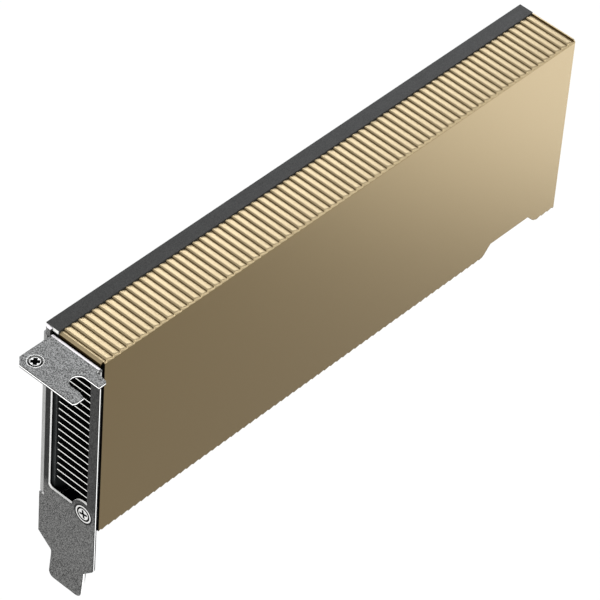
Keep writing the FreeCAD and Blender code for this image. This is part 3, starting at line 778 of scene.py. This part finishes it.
@dataclass
class CrossScrew:
    """Countersunk machine screw with a cross recess and a rolled thread, in millimetres."""

    head_radius: float
    cone: float
    shank_radius: float
    length: float
    face: Profile
    shaded_rows: tuple[int, ...] = ()
    thread_pitch: float = 0.45
    thread_depth: float = 0.14
    recess_half: float = 0.0
    recess_width: float = 0.0
    recess_depth: float = 0.0
    recess_top: float = 0.3
    recess_top_share: float = 1.08
    recess_foot_share: float = 0.55
    sides: int = 48
    rim: float = 0.05
    rows_per_turn: int = 6
    plain_tip: float = 0.2
    plain_neck: float = 0.1

    def profile(self) -> Profile:
        """Half outline of head and shank.

        Returns:
            Radius and height of each corner, from the face's middle to the tip.
        """
        root = self.cone + self.rim
        rows = max(4, int((self.length - self.cone) / self.thread_pitch * self.rows_per_turn))
        shank = [(self.shank_radius, -root - (self.length - root) * i / rows) for i in range(rows + 1)]
        return [*self.face, (self.head_radius, -self.rim), *shank, (0.001, -self.length)]

    def reach(self, radius: float, height: float, turn_share: float) -> float:
        """Radius with the thread's groove taken off where there is thread.

        Args:
            radius: Radius of the plain shank or head, in millimetres.
            height: Height from the head's face, in millimetres.
            turn_share: Share of a turn round the axis.

        Returns:
            The radius in millimetres.
        """
        inside = self.plain_tip - self.length < height < -self.cone - self.plain_neck
        if not inside or abs(radius - self.shank_radius) >= 1e-6:
            return radius
        phase = (height / self.thread_pitch + turn_share) % 1
        return radius - self.thread_depth * abs(2 * phase - 1)

    def add_to(self, shape: Mesh, turn: Matrix) -> None:
        """Add one screw to a mesh.

        Args:
            shape: Mesh that takes the screw.
            turn: Places the screw, whose head faces +Z at the origin, in metres.
        """
        rings = []
        for radius, height in self.profile():
            ring = []
            for i, (side, rise) in enumerate(circle(self.sides)):
                reach = self.reach(radius, height, i / self.sides)
                ring.append(turn @ (Vector((reach * side, reach * rise, height)) * MM))
            rings.append(ring)
        Workshop.stack(shape, rings, self.shaded_rows)

    def add_recess(self, cutter: Mesh, turn: Matrix) -> None:
        """Add the tapered cross that is cut from the head.

        Args:
            cutter: Mesh that takes the cross.
            turn: Places the screw, in metres.
        """
        spins = [Matrix.Rotation(math.pi / 2 * quarter, 3, "Z") for quarter in range(4)]
        rings = []
        for height, share in ((self.recess_top, self.recess_top_share),
                              (-self.recess_depth, self.recess_foot_share)):
            arm = self.recess_half * share
            half = self.recess_width / 2 * (0.5 + share / 2)
            corners = [Vector((x, y, height)) for x, y in ((arm, -half), (arm, half), (half, half))]
            rings.append([turn @ (spin @ corner * MM) for spin in spins for corner in corners])
        Workshop.stack(cutter, rings)


@dataclass
class Fasteners:
    """All the screws of the card."""

    shop: Workshop
    # The shaded rows, the groove round the head, take the painted shadow
    face_screw: CrossScrew = field(default_factory=lambda: CrossScrew(
        2.56, 0.64, 1.20, 6.4,
        ((0.001, 0.0), (1.62, 0.0), (1.67, -0.20), (2.08, -0.20), (2.13, 0.0), (2.54, 0.0)), (1, 2, 3),
        recess_half=1.40, recess_width=0.66, recess_depth=0.75))
    tab_screw: CrossScrew = field(default_factory=lambda: CrossScrew(
        2.16, 0.60, 1.16, 1.86,
        ((0.001, -0.10), (1.38, -0.10), (1.43, -0.42), (1.92, -0.42), (1.97, 0.0), (2.14, 0.0)), (1, 2, 3),
        recess_half=1.34, recess_width=1.10, recess_depth=0.80))
    plate_screw: CrossScrew = field(default_factory=lambda: CrossScrew(
        1.86, 0.88, 0.96, 7.5, ((0.001, -0.02), (1.70, -0.02)),
        recess_half=1.10, recess_width=0.50, recess_depth=0.70, sides=32))
    flange_screw: CrossScrew = field(default_factory=lambda: CrossScrew(
        1.90, 0.10, 1.10, 0.60, ((0.001, 0.0), (1.60, -0.01), (1.82, -0.06)),
        recess_half=1.00, recess_width=0.44, recess_depth=0.16, sides=32))
    flange_face: float = 18.50
    flange_screw_rise: float = 0.19
    flange_screw_places: Profile = ((6.0, -14.0), (6.0, -44.0))
    tip_gap: float = 0.05
    turn_step: float = 37
    shadow_depth: float = 0.12

    def build(self) -> None:
        """Replace the plain screws of the frame with threaded ones that have a true recess."""
        self.replace("bracket_face_screw", self.face_screw, "X", -1, SCREW_STEEL, "screw_steel", 12)
        self.replace("bracket_tab_screw", self.tab_screw, "Z", 1, SCREW_STEEL, "screw_steel", 40)
        self.replace("package_screws", self.plate_screw, "Y", 1, BLACK_OXIDE, "dark_screw", 20)
        self.replace("cover_screws", self.plate_screw, "Y", 1, BLACK_OXIDE, "dark_screw", 65)
        self.add_flange_screws()

    def add_flange_screws(self) -> None:
        """Two low screws from the bracket's side flange into the spacers."""
        turns = []
        for number, (x, z) in enumerate(self.flange_screw_places):
            head = card_point(x, self.flange_face + self.flange_screw_rise, z)
            turns.append(self.turned(head, Vector((0, 1, 0)), 25 + 50 * number))
        self.make("flange_screw_heads", self.flange_screw, turns, SCREW_STEEL, "screw_steel")

    def replace(self, node: str, screw: CrossScrew, axis: str, facing: int, finish: Finish,
                slot: str, turn_degrees: float) -> None:
        """Build detailed screws at every place where the node has one.

        Args:
            node: Node of plain screws.
            screw: Sizes of the detailed screw.
            axis: Axis along which the screws lie.
            facing: 1 where the heads face along the axis, -1 against it.
            finish: Finish of the screws.
            slot: Name of a material slot.
            turn_degrees: Angle at which the recess stopped when the first screw was driven.
        """
        index = "XYZ".index(axis)
        turns = []
        for number, (low, top) in enumerate(self.islands(self.shop.nodes[node])):
            middle = (low + top) / 2
            middle[index] = top[index] if facing > 0 else low[index]
            direction = Vector([facing if i == index else 0 for i in range(3)])
            turns.append(self.turned(middle, direction, turn_degrees + self.turn_step * number))
            length = (top - low)[index] / MM - self.tip_gap
        piece = self.make(node + "_detailed", altered(screw, length=length), turns, finish, slot)
        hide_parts(node)

    @staticmethod
    def turned(place: Vector, direction: Vector, degrees: float) -> Matrix:
        """Turn and place a screw that is made facing +Z.

        Args:
            place: Middle of the head's face.
            direction: Way that the head faces.
            degrees: Angle of the recess round the axis.

        Returns:
            The matrix.
        """
        spin = Matrix.Rotation(math.radians(degrees), 4, "Z")
        return Matrix.Translation(place) @ direction.to_track_quat("Z", "Y").to_matrix().to_4x4() @ spin

    def make(self, name: str, screw: CrossScrew, turns: list[Matrix], finish: Finish,
             slot: str) -> Piece:
        """Build one piece of equal screws and cut their recesses.

        Args:
            name: Name of the piece.
            screw: Sizes of the screw.
            turns: Place of each screw.
            finish: Finish of the screws.
            slot: Name of a material slot.

        Returns:
            The piece.
        """
        shape, cutter = bmesh.new(), bmesh.new()
        for turn in turns:
            screw.add_to(shape, turn)
            screw.add_recess(cutter, turn)
        bmesh.ops.recalc_face_normals(cutter, faces=cutter.faces)
        piece = self.shop.finished(shape, name, finish, slot, second=SCREW_SHADOW)
        self.cut(piece, cutter)
        # Faces deep in the recess take the painted shadow
        back = [turn.inverted() for turn in turns]
        for face in piece.data.polygons:
            near = min((turn @ face.center for turn in back), key=lambda place: place.length)
            inside = math.hypot(near.x, near.y) < screw.recess_half * MM
            if inside and near.z < -self.shadow_depth * MM:
                face.material_index = 1
        return piece

    @staticmethod
    def islands(piece: Piece) -> list[tuple[Vector, Vector]]:
        """Lowest and highest corner of each separate solid in a node.

        Args:
            piece: The node's object.

        Returns:
            One pair of corners for each solid.
        """
        shape = bmesh.new()
        shape.from_mesh(piece.data)
        bmesh.ops.remove_doubles(shape, verts=shape.verts, dist=1e-6)
        found = []
        left = set(shape.verts)
        while left:
            reached = [left.pop()]
            points = []
            while reached:
                vert = reached.pop()
                points.append(vert.co.copy())
                for edge in vert.link_edges:
                    other = edge.other_vert(vert)
                    if other in left:
                        left.discard(other)
                        reached.append(other)
            low = Vector([min(p[i] for p in points) for i in range(3)])
            high = Vector([max(p[i] for p in points) for i in range(3)])
            found.append((low, high))
        shape.free()
        return sorted(found, key=lambda pair: tuple(pair[0]))

    @staticmethod
    def cut(piece: Piece, cutter: Mesh) -> None:
        """Cut a shape out of a piece and keep the result as its mesh.

        Args:
            piece: Piece to cut.
            cutter: Closed shape in the row frame.
        """
        mesh = bpy.data.meshes.new("cutter")
        cutter.to_mesh(mesh)
        cutter.free()
        tool = bpy.data.objects.new("cutter", mesh)
        bpy.context.scene.collection.objects.link(tool)
        boolean = piece.modifiers.new("recess", "BOOLEAN")
        boolean.operation = "DIFFERENCE"
        boolean.solver = "EXACT"
        boolean.object = tool
        bpy.context.view_layer.update()
        graph = bpy.context.evaluated_depsgraph_get()
        result = bpy.data.meshes.new_from_object(piece.evaluated_get(graph))
        piece.modifiers.remove(boolean)
        result.shade_smooth()
        result.set_sharp_from_angle(angle=math.radians(CUT_SHARP_ANGLE))
        piece.data = result
        bpy.data.objects.remove(tool)


@dataclass
class Bracket:
    """Folded slot bracket with painted highlights on its sheared edges."""

    shop: Workshop
    edge_width: float = 0.06
    bend_radius: float = 0.90
    bend_back: float = 18.70
    bend_reach: float = 1.60
    bend_cover: float = 0.02
    bend_top: float = -2.40
    bend_bottom: float = -55.60
    bend_steps: int = 7

    def add_side_bend(self) -> None:
        """Tight outer round of the fold between the plate and the side flange."""
        outline = [(-self.bend_cover, self.bend_back - self.bend_reach)]
        centre_x, centre_y = self.bend_radius - self.bend_cover, self.bend_back - self.bend_radius
        for i in range(self.bend_steps + 1):
            angle = math.pi / 2 * i / self.bend_steps
            outline.append((centre_x - self.bend_radius * math.cos(angle),
                            centre_y + self.bend_radius * math.sin(angle)))
        outline.extend([(self.bend_reach, self.bend_back), (self.bend_reach, self.bend_back - 0.30),
                        (0.30, self.bend_back - self.bend_reach)])
        shape = bmesh.new()
        rings = [[card_point(x, y, z) for x, y in outline] for z in (self.bend_bottom, self.bend_top)]
        self.shop.stack(shape, rings)
        # The round takes the lighter finish as its painted reflection
        self.shop.finished(shape, "bracket_side_bend", SIDE_BEND, "bracket_steel")

    def build(self) -> None:
        """Dress the folded sheet and soften its edges."""
        self.add_side_bend()
        for node, finish in (("io_bracket", PLATED_SHEET), ("flange_standoffs", NICKEL)):
            self.shop.soften(self.shop.dress(node, finish), self.edge_width)


@dataclass
class Cover:
    """Ribbed gold cover: one folded shell with its screw block and posts, in millimetres."""

    shop: Workshop
    start: float = 1.20
    face_start: float = 1.95
    face_recess: float = 0.60
    end: float = 169.65
    rear: float = 14.32
    wall: float = 1.30
    crest: float = -0.20
    rib_start: float = 0.46
    rib_pitch: float = 2.2484
    rib_count: int = 75
    rib_depth: float = 0.48
    lead_drop: float = 0.72
    lead_run: float = 0.90
    rim: float = 0.35
    rib_line: Profile = ((0.0, 0.0), (0.02, 0.34), (0.06, 0.68), (0.11, 0.90), (0.17, 1.0), (0.31, 0.95),
                         (0.36, 0.80), (0.52, 0.68), (0.96, 0.08))
    base: float = -58.05
    low_rib_depth: float = 0.40
    low_line: Profile = ((0.0, 0.0), (0.20, 1.0))
    face_top: float = -1.15
    lower_round: float = 0.22
    ceiling: float = -1.80
    floor: float = -56.75
    roof_wall: float = 0.90
    step_line: Profile = ((0.0, 0.0), (141.40, 0.0), (144.35, 3.20), (159.10, 3.20), (162.05, 0.0),
                          (170.0, 0.0))
    round_steps: int = 5
    round_share: float = 0.95
    seam: float = 0.06
    corner_share: float = 0.3
    jump: float = 0.01
    block_points: int = 6
    post_sides: int = 24
    block: tuple[float, float, float, float, float, float] = (0.86, 8.86, 0.65, 6.60, -56.75, -49.90)
    bore_place: tuple[float, float] = (3.50, -53.00)
    bore_radius: float = 1.29
    bore_end: float = 6.60
    post_places: Profile = ((20.00, -3.89), (165.15, -53.15))
    post_radius: float = 1.80
    post_bore: float = 1.04
    post_bore_start: float = 5.41
    post_end: float = 9.50

    @staticmethod
    def line(points: Profile, place: float) -> float:
        """Height of a broken line at a place.

        Args:
            points: Corners of the line, in order.
            place: Where to read it.

        Returns:
            The height.
        """
        for (x0, z0), (x1, z1) in zip(points, points[1:]):
            if x0 <= place <= x1:
                return z0 + (z1 - z0) * (place - x0) / (x1 - x0)
        return points[-1][1]

    def rib(self, points: Profile, x: float) -> float:
        """Share of the rib's rise at a place along the card.

        Args:
            points: Rib line over one pitch.
            x: Place along the card.

        Returns:
            0 in a valley, 1 on a crest.
        """
        if x >= self.end - self.rim:
            return 1.0
        share = (x - self.rib_start) / self.rib_pitch
        if share >= self.rib_count:
            return 0.0
        return self.line((*points, (1.0, 0.0)), share % 1)

    def stations(self) -> list[float]:
        """Places along the card where the section changes.

        Returns:
            The places in order, in millimetres from the bracket's face.
        """
        found = {self.start, self.start + self.lead_run, self.face_start, self.face_start + self.jump,
                 self.end, self.end - self.rim, self.end - self.rim - self.jump,
                 *(x for x, _ in self.step_line)}
        for number in range(self.rib_count + 1):
            for share, _ in (*self.rib_line, *self.low_line, (0.999, 0.0)):
                found.add(round(self.rib_start + (number + share) * self.rib_pitch, 4))
        return sorted(x for x in found if self.start <= x <= self.end)

    def section(self, x: float) -> list[Vector]:
        """Closed section of the shell at a place along the card.

        Args:
            x: Place along the card.

        Returns:
            The points, from the top's rear edge round the outside and back inside.
        """
        lead = self.crest - self.lead_drop * max(0.0, 1 - (x - self.start) / self.lead_run)
        top = min(lead, self.crest - self.rib_depth * (1 - self.rib(self.rib_line, x)))
        step = self.line(self.step_line, x)
        low = self.base + max(step, self.low_rib_depth * (1 - self.rib(self.low_line, x)))
        rise = top - self.face_top
        inner = max(self.floor, self.base + step + self.roof_wall) if step > 0 else self.floor
        turns = [math.pi / 2 * i / self.round_steps for i in range(self.round_steps + 1)]
        corner = [(rise * self.round_share * (1 - math.sin(turn)), self.face_top + rise * math.cos(turn))
                  for turn in turns]
        foot, cut = low + self.lower_round, self.lower_round * self.corner_share
        points = [(self.rear, top), *corner, (0.0, self.face_top - self.seam), (0.0, foot + self.seam),
                  (0.0, foot), (cut, low + cut), (self.lower_round, low), (self.rear, low),
                  (self.rear, inner), (self.wall, inner), (self.wall, self.ceiling),
                  (self.rear, self.ceiling)]
        recess = self.face_recess if x <= self.face_start else 0.0
        return [card_point(x, max(y, recess), z) for y, z in points]

    def add_shell(self, shape: Mesh) -> None:
        """Add the folded shell, with painted shade on its inner faces and on the recessed strip of its face
        at the near end.

        Args:
            shape: Mesh that takes the shell.
        """
        places = self.stations()
        rows = [[shape.verts.new(point) for point in self.section(x)] for x in places]
        count = len(rows[0])
        for x, first, other in zip(places, rows, rows[1:]):
            for i in range(count):
                j = (i + 1) % count
                face = shape.faces.new((first[i], first[j], other[j], other[i]))
                inner = count - 4 <= i < count - 1
                recessed = x <= self.face_start and self.round_steps < i < count - 4
                face.material_index = 1 if inner or recessed else 0
        shape.faces.new(list(reversed(rows[0])))
        shape.faces.new(rows[-1])

    def add_block(self, shape: Mesh) -> None:
        """Add the screw block with its blind bore; its sides, near face and bore wall take the painted shade.

        Args:
            shape: Mesh that takes the block.
        """
        x0, x1, y0, y1, z0, z1 = self.block
        corners = [Vector(corner) for corner in ((y0, z0), (y1, z0), (y1, z1), (y0, z1))]
        outline = [corner.lerp(after, step / self.block_points)
                   for corner, after in zip(corners, (*corners[1:], corners[0]))
                   for step in range(self.block_points)]
        middle = Vector(self.bore_place)
        bore = [middle + (place - middle).normalized() * self.bore_radius for place in outline]
        rings = []
        for x, ring in ((x1, outline), (x0, outline), (x0, bore), (self.bore_end, bore)):
            rings.append([card_point(x, y, z) for y, z in ring])
        Workshop.stack(shape, rings, (0, 1, 2))

    def add_posts(self, shape: Mesh) -> None:
        """Add the six-sided posts with their blind bores; their sides take the painted shade.

        Args:
            shape: Mesh that takes the posts.
        """
        sixth = math.pi / 3
        turns = [2 * math.pi * i / self.post_sides for i in range(self.post_sides)]
        flats = [math.cos(sixth / 2) / math.cos((turn + sixth / 2) % sixth - sixth / 2) for turn in turns]
        hexagon = [(self.post_radius * flat * side, self.post_radius * flat * rise)
                   for flat, (side, rise) in zip(flats, circle(self.post_sides))]
        bore = [(self.post_bore * side, self.post_bore * rise) for side, rise in circle(self.post_sides)]
        for x, z in self.post_places:
            rings = []
            for depth, ring in ((self.wall / 2, hexagon), (self.post_end, hexagon), (self.post_end, bore),
                                (self.post_bore_start, bore)):
                rings.append([card_point(x + side, depth, z + rise) for side, rise in ring])
            Workshop.stack(shape, rings, (0,))

    def build(self) -> None:
        """Replace the plain cover with the finely ribbed one."""
        shape = bmesh.new()
        self.add_shell(shape)
        self.add_block(shape)
        self.add_posts(shape)
        piece = self.shop.finished(shape, "ribbed_cover", GOLD_ANODISED, "cover_metal", second=CAVITY_SHADE)
        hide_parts("heatsink_cover")


@dataclass
class RearPlate:
    """Black rear plate whose folded edge is the strip on the card's top."""

    shop: Workshop
    edge_width: float = 0.12

    def build(self) -> None:
        """Dress the plate and soften its edges."""
        self.shop.soften(self.shop.dress("backplate", BLACK_PLATE), self.edge_width)


@dataclass
class Internals:
    """Fins, base, board and the parts between them."""

    shop: Workshop
    board_edge_width: float = 0.08
    fin_edge_width: float = 0.05

    def build(self) -> None:
        """Dress every node that no other class dresses."""
        for finish, nodes in NODES_BY_FINISH.items():
            for node in nodes:
                self.shop.dress(node, finish)
        self.shop.soften(self.shop.nodes["circuit_board"], self.board_edge_width)
        self.shop.soften(self.shop.nodes["fin_stack"], self.fin_edge_width)


@dataclass
class BoardDetail:
    """Fine parts of the board along its connector: lane capacitors, traces and vias, in millimetres."""

    shop: Workshop
    front: float = 14.47
    back: float = 16.04
    pad_top: float = -65.60
    first_pad: float = 45.35
    pad_pitch: float = 1.0
    pad_count: int = 85
    pad_end: float = 129.0
    key_gap: tuple[float, float] = (55.9, 58.4)
    capacitor_rise: float = -60.00
    capacitor_count: int = 16
    capacitor_start: float = 62.0
    capacitor_pitch: float = 4.0
    capacitor_depth: float = 0.45
    capacitor_spread: float = 0.55
    capacitor_half: float = 0.25
    capacitor_body: float = 0.28
    capacitor_tip: float = 0.50
    trace_jogs: tuple[float, float] = (-0.3, 0.5)
    trace_stagger: float = 0.25
    trace_gap: float = 0.15
    trace_bend: float = 1.3
    trace_end: float = -61.00
    trace_width: float = 0.18
    trace_height: float = 0.03
    via_line: Profile = ((0.26, 0.0), (0.24, 0.04), (0.12, 0.04), (0.10, 0.005))
    via_sides: int = 10

    def build(self) -> None:
        """Build every fine part of the board."""
        self.add_capacitors()
        self.add_traces()
        self.add_vias()

    @staticmethod
    def add_box(shape: Mesh, x: tuple[float, float], y: tuple[float, float],
                z: tuple[float, float], taper: float = 0.03) -> None:
        """Add a block whose outer face is a little smaller.

        Args:
            shape: Mesh that takes the block.
            x: Near and far side.
            y: Depth on the board and of the outer face.
            z: Low and high side.
            taper: Amount that the outer face is smaller on each side.
        """
        rings = []
        shoulder = y[0] + (y[1] - y[0]) * 0.85
        for depth, inset in ((y[0], 0.0), (shoulder, 0.0), (y[1], taper)):
            corners = ((x[0] + inset, z[0] + inset), (x[1] - inset, z[0] + inset),
                       (x[1] - inset, z[1] - inset), (x[0] + inset, z[1] - inset))
            rings.append([card_point(cx, depth, cz) for cx, cz in corners])
        Workshop.stack(shape, rings)

    def add_capacitors(self) -> None:
        """Pairs of small coupling capacitors in the band between cover and connector."""
        bodies, ends = bmesh.new(), bmesh.new()
        top = self.front - self.capacitor_depth
        for number in range(self.capacitor_count):
            for side in (-self.capacitor_spread, self.capacitor_spread):
                x = self.capacitor_start + number * self.capacitor_pitch + side
                half, z, body = self.capacitor_half - 0.01, self.capacitor_rise, self.capacitor_body
                self.add_box(bodies, (x - half, x + half), (self.front, top + 0.02), (z - body, z + body))
                sides = (x - self.capacitor_half, x + self.capacitor_half)
                for end in ((z - self.capacitor_tip, z - body), (z + body, z + self.capacitor_tip)):
                    self.add_box(ends, sides, (self.front, top), end)
        self.shop.finished(bodies, "lane_capacitors", CERAMIC, "ceramic")
        self.shop.finished(ends, "lane_capacitor_ends", TINNED, "crystal_can")

    def traces(self) -> list[tuple[float, float, float]]:
        """Traces at every second contact, away from the key.

        Returns:
            Contact's middle, sideways jog and upper end of each trace.
        """
        places = [self.first_pad + i * self.pad_pitch for i in range(self.pad_count)]
        kept = [x for x in places[::2] if not self.key_gap[0] < x < self.key_gap[1] and x < self.pad_end]
        return [(x, self.trace_jogs[i % 2], self.trace_end - self.trace_stagger * (i % 3))
                for i, x in enumerate(kept)]

    def add_traces(self) -> None:
        """Raised masked traces that climb from the contacts, with a slanted jog."""
        shape = bmesh.new()
        for x, jog, end in self.traces():
            bend = self.pad_top + self.trace_bend
            line = [(x, self.pad_top + self.trace_gap), (x, bend), (x + jog, bend + abs(jog)), (x + jog, end)]
            for surface, way in ((self.front, -1), (self.back, 1)):
                self.add_run(shape, line, surface, surface + way * self.trace_height)
        self.shop.finished(shape, "board_traces", TRACE_MASK, "board_laminate", smooth=False)

    def add_run(self, shape: Mesh, line: Profile, low: float, top: float) -> None:
        """Add one trace along a broken line.

        Args:
            shape: Mesh that takes the trace.
            line: Corners of the trace's middle.
            low: Depth of the board's face.
            top: Depth of the trace's face.
        """
        half = self.trace_width / 2
        rings = []
        for x, z in line:
            rings.append([card_point(x - half, low, z), card_point(x + half, low, z),
                          card_point(x + half, top, z), card_point(x - half, top, z)])
        Workshop.stack(shape, rings)

    def add_vias(self) -> None:
        """Small plated rings at the ends of the traces on both faces."""
        shape = bmesh.new()
        for x, jog, z in self.traces():
            for surface, way in ((self.front, -1), (self.back, 1)):
                rings = [[card_point(x + jog + radius * side, surface + way * rise, z + radius * up)
                          for side, up in circle(self.via_sides)] for radius, rise in self.via_line]
                Workshop.stack(shape, rings)
        self.shop.finished(shape, "board_vias", TINNED, "contact_gold")


@dataclass(frozen=True)
class Lamp:
    """One soft square lamp: its place, the point it faces and its side in metres, its power in watts."""

    name: str
    place: Place
    aim: Place
    size: float
    power: float
    colour: Colour = (1.0, 1.0, 1.0)

    def build(self) -> None:
        """Hang the lamp in the scene, out of the camera's sight."""
        light = bpy.data.lights.new(self.name, "AREA")
        light.color = self.colour
        light.size = self.size
        light.energy = self.power
        lamp = bpy.data.objects.new(self.name, light)
        lamp.location = self.place
        lamp.rotation_euler = (Vector(self.aim) - Vector(self.place)).to_track_quat("-Z", "Y").to_euler()
        lamp.visible_camera = False
        bpy.context.scene.collection.objects.link(lamp)


@dataclass
class Studio:
    """Floor, world, lamps and camera, in metres and degrees; lens and sensor in millimetres."""

    floor_height: float = -0.30
    floor_reach: float = 3.0
    floor_colour: float = 0.86
    floor_white: float = 0.9
    fill: float = 0.70
    camera_place: Place = (-0.576787, -0.511325, 0.786578)
    camera_azimuth: float = 49.9264
    camera_elevation: float = 43.9184
    camera_roll: float = 4.6042
    camera_lens: float = 262.977
    camera_sensor: float = 36.0
    lamps: tuple[Lamp, ...] = (
        Lamp("key_lamp", (0.60, 0.43, 0.46), (0.0, 0.0, 0.06), 0.42, 2.9, (0.92, 0.95, 1.0)),
        Lamp("low_key_lamp", (0.72, 0.43, 0.20), (0.0, 0.0, 0.07), 0.36, 1.3, (0.92, 0.95, 1.0)),
        Lamp("front_lamp", (0.34, -0.40, 0.36), (0.06, 0.0, 0.06), 0.25, 1.2),
        Lamp("low_far_lamp", (0.3847, -0.2346, -0.1579), (0.09, -0.0153, 0.03), 0.2194, 0.62,
             (0.84, 0.90, 1.0)),
        Lamp("left_lamp", (-0.75, -0.40, 0.30), (-0.06, 0.0, 0.03), 0.40, 7.2),
    )

    def build(self) -> None:
        """Set up everything round the card."""
        self.add_floor()
        self.add_world()
        for lamp in self.lamps:
            lamp.build()
        self.add_camera()
        bpy.context.scene.view_settings.view_transform = "Standard"

    @staticmethod
    def split_by_ray(tree: Tree, kinds: tuple[str, str, str], share: float) -> bpy.types.Node:
        """Show white to camera, glossy and transmission rays, and a lit shader to the others.

        Args:
            tree: Node tree, which is emptied first.
            kinds: Types of the lit shader, the white shader and the output.
            share: Share of white that those rays see.

        Returns:
            The node of the lit shader.
        """
        tree.nodes.clear()
        lit, white, output = (tree.nodes.new(kind) for kind in kinds)
        path = tree.nodes.new("ShaderNodeLightPath").outputs
        seen = path["Is Camera Ray"]
        for name in ("Is Glossy Ray", "Is Transmission Ray"):
            seen = math_node(tree, "MAXIMUM", seen, path[name])
        mix = tree.nodes.new("ShaderNodeMixShader")
        seen = math_node(tree, "MULTIPLY", seen, share)
        for i, source in enumerate((seen, lit.outputs[0], white.outputs[0])):
            tree.links.new(source, mix.inputs[i])
        tree.links.new(mix.outputs["Shader"], output.inputs["Surface"])
        white.inputs["Color"].default_value = (1.0, 1.0, 1.0, 1.0)
        white.inputs["Strength"].default_value = 1.0
        return lit

    def add_floor(self) -> None:
        """Wide pale floor that keeps a faint shadow."""
        shape = bmesh.new()
        bmesh.ops.create_grid(shape, x_segments=8, y_segments=8, size=self.floor_reach)
        mesh = bpy.data.meshes.new("studio_floor")
        shape.to_mesh(mesh)
        shape.free()
        floor = bpy.data.objects.new("studio_floor", mesh)
        floor.location = (0.0, 0.0, self.floor_height)
        bpy.context.scene.collection.objects.link(floor)
        material = bpy.data.materials.new("studio_paper")
        material.use_nodes = True
        kinds = ("ShaderNodeBsdfDiffuse", "ShaderNodeEmission", "ShaderNodeOutputMaterial")
        lit = self.split_by_ray(material.node_tree, kinds, self.floor_white)
        lit.inputs["Color"].default_value = (*[self.floor_colour] * 3, 1.0)
        mesh.materials.append(material)

    def add_world(self) -> None:
        """White surroundings for sight, and a plain grey fill for light."""
        world = bpy.data.worlds.new("studio_world")
        bpy.context.scene.world = world
        world.use_nodes = True
        kinds = ("ShaderNodeBackground", "ShaderNodeBackground", "ShaderNodeOutputWorld")
        fill = self.split_by_ray(world.node_tree, kinds, 1.0)
        fill.inputs["Color"].default_value = (1.0, 1.0, 1.0, 1.0)
        fill.inputs["Strength"].default_value = self.fill

    def add_camera(self) -> None:
        """Camera at the photograph's viewing angle."""
        azimuth, elevation = math.radians(self.camera_azimuth), math.radians(self.camera_elevation)
        forward = Vector((math.sin(azimuth) * math.cos(elevation),
                          math.cos(azimuth) * math.cos(elevation), -math.sin(elevation)))
        level = forward.cross(Vector((0.0, 0.0, 1.0))).normalized()
        rise = level.cross(forward)
        roll = math.radians(self.camera_roll)
        right = level * math.cos(roll) + rise * math.sin(roll)
        up = right.cross(forward)
        data = bpy.data.cameras.new("photo_camera")
        data.lens = self.camera_lens
        data.sensor_width = self.camera_sensor
        camera = bpy.data.objects.new("photo_camera", data)
        turn = Matrix((right, up, -forward)).transposed().to_4x4()
        camera.matrix_world = Matrix.Translation(Vector(self.camera_place)) @ turn
        bpy.context.scene.collection.objects.link(camera)
        bpy.context.scene.camera = camera


def main() -> None:
    """Build the dressed card, its light and its camera."""
    logging.basicConfig(level=logging.INFO, format="%(message)s")
    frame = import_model()
    shop = Workshop(frame["nodes"])
    Studio().build()
    for assembly in (Bracket, Cover, RearPlate, Internals, Fasteners, BoardDetail):
        assembly(shop).build()


if __name__ == "__main__":
    main()
